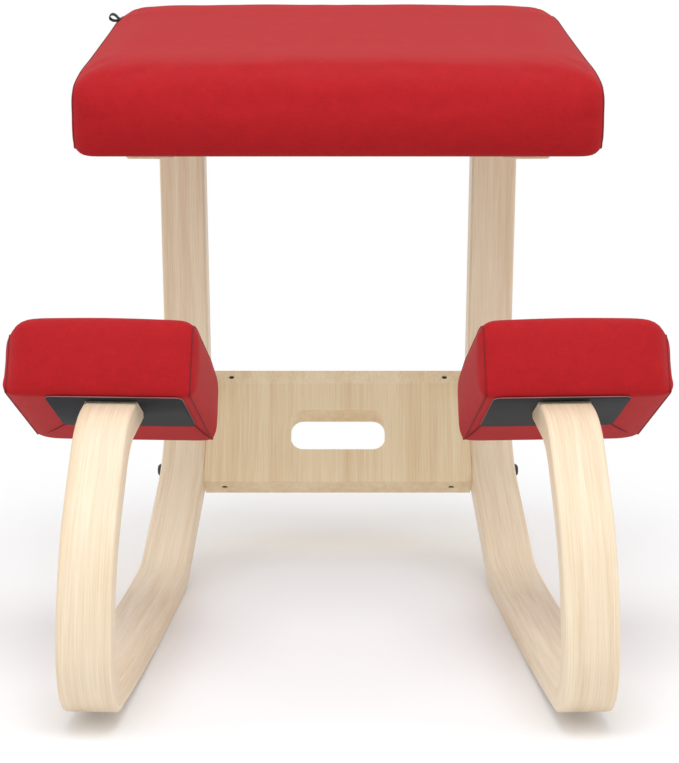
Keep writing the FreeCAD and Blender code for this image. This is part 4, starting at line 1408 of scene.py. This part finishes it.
class CHAIR_OT_stage(bpy.types.Operator):
    """Set up the floor, the lamps, the surroundings and the camera"""

    bl_idname = "chair.stage"
    bl_label = "Stage"

    def execute(self, context):
        scene = context.scene
        settings = scene.chair_stage
        places = Places(scene)
        scene.view_settings.view_transform = "Standard"

        lens = bpy.data.cameras.new("Camera")
        lens.lens = settings.lens
        lens.sensor_width = 36
        lens.shift_x = settings.shift
        lens.clip_end = 50
        camera = add_object("Camera", lens)
        camera.location = (0, places.reference - settings.distance, settings.rise)
        camera.rotation_euler = (math.pi / 2 - settings.tilt, 0, 0)
        scene.camera = camera

        corners = [(x * FLOOR_REACH, y * FLOOR_REACH, 0) for x, y in ((-1, -1), (1, -1), (1, 1), (-1, 1))]
        floor = make_piece("studio_floor", corners, [(0, 1, 2, 3)])
        material, tree, shader = new_material("pale floor", (0.9, 0.9, 0.9))
        tree.nodes.remove(shader)
        output = tree.nodes["Material Output"]
        matte = node(tree, "BsdfDiffuse", Color=(0.86, 0.86, 0.87, 1))
        direct = seen_directly(tree)
        lift = node(tree, "Emission", Color=WHITE, Strength=direct * settings.floor_white)
        both = node(tree, "AddShader", in_0=matte.outputs[0], in_1=lift.outputs[0])
        place = node(tree, "TexCoord").outputs["Object"]
        far = Value(tree, node(tree, "VectorMath", {"operation": "LENGTH"}, in_0=place).outputs["Value"])
        fade = far.ranged(settings.fade_start, settings.fade_end)
        white = node(tree, "Emission", Color=WHITE, Strength=1.0)
        surface = node(tree, "MixShader", in_0=fade * direct, in_1=both.outputs[0], in_2=white.outputs[0])
        tree.links.new(surface.outputs[0], output.inputs["Surface"])
        dress(floor, material)

        world = bpy.data.worlds.new("Studio")
        scene.world = world
        world.use_nodes = True
        tree = world.node_tree
        tree.nodes.clear()
        soft = node(tree, "Background", Color=WHITE, Strength=settings.sky)
        white = node(tree, "Background", Color=WHITE, Strength=1.0)
        choice = node(tree, "MixShader", in_0=seen_directly(tree), in_1=soft.outputs[0],
                      in_2=white.outputs[0])
        output = tree.nodes.new("ShaderNodeOutputWorld")
        tree.links.new(choice.outputs[0], output.inputs[0])

        for name, spot, aim, size, power in LAMPS:
            lamp = bpy.data.lights.new(name, "AREA")
            lamp.shape = "SQUARE"
            lamp.size = size
            lamp.energy = getattr(settings, power)
            holder = add_object(name, lamp)
            holder.location = spot
            holder.rotation_euler = (Vector(aim) - Vector(spot)).to_track_quat("-Z", "Y").to_euler()
        return {"FINISHED"}


class CHAIR_PT_panel(bpy.types.Panel):
    """Lists the pieces of the chair"""

    bl_idname = "CHAIR_PT_panel"
    bl_label = "Kneeling Chair"
    bl_space_type = "VIEW_3D"
    bl_region_type = "UI"
    bl_category = "Chair"

    def draw(self, context):
        for operator in OPERATORS:
            self.layout.operator(operator.bl_idname)
        for name in GROUPS:
            box = self.layout.box()
            settings = getattr(context.scene, name)
            for prop in settings.bl_rna.properties:
                if prop.identifier not in ("rna_type", "name"):
                    box.prop(settings, prop.identifier)


OPERATORS = (CHAIR_OT_runners, CHAIR_OT_crossboard, CHAIR_OT_seat, CHAIR_OT_knee_pads, CHAIR_OT_fastenings,
             CHAIR_OT_stage)
GROUPS = {
    "chair_runner": RunnerSettings,
    "chair_board": BoardSettings,
    "chair_seat": SeatSettings,
    "chair_knee": KneeSettings,
    "chair_cover": CoverSettings,
    "chair_fastener": FastenerSettings,
    "chair_finish": FinishSettings,
    "chair_stage": StageSettings,
}


def register():
    for group in GROUPS.values():
        bpy.utils.register_class(group)
    for name, group in GROUPS.items():
        setattr(bpy.types.Scene, name, PointerProperty(type=group))
    for operator in OPERATORS:
        bpy.utils.register_class(operator)
    bpy.utils.register_class(CHAIR_PT_panel)


def unregister():
    bpy.utils.unregister_class(CHAIR_PT_panel)
    for operator in reversed(OPERATORS):
        bpy.utils.unregister_class(operator)
    for name in GROUPS:
        delattr(bpy.types.Scene, name)
    for group in reversed(list(GROUPS.values())):
        bpy.utils.unregister_class(group)


def main():
    """Build the whole chair."""
    register()
    bpy.ops.chair.runners()
    bpy.ops.chair.crossboard()
    bpy.ops.chair.seat()
    bpy.ops.chair.knee_pads()
    bpy.ops.chair.fastenings()
    bpy.ops.chair.stage()


if __name__ == "__main__":
    main()
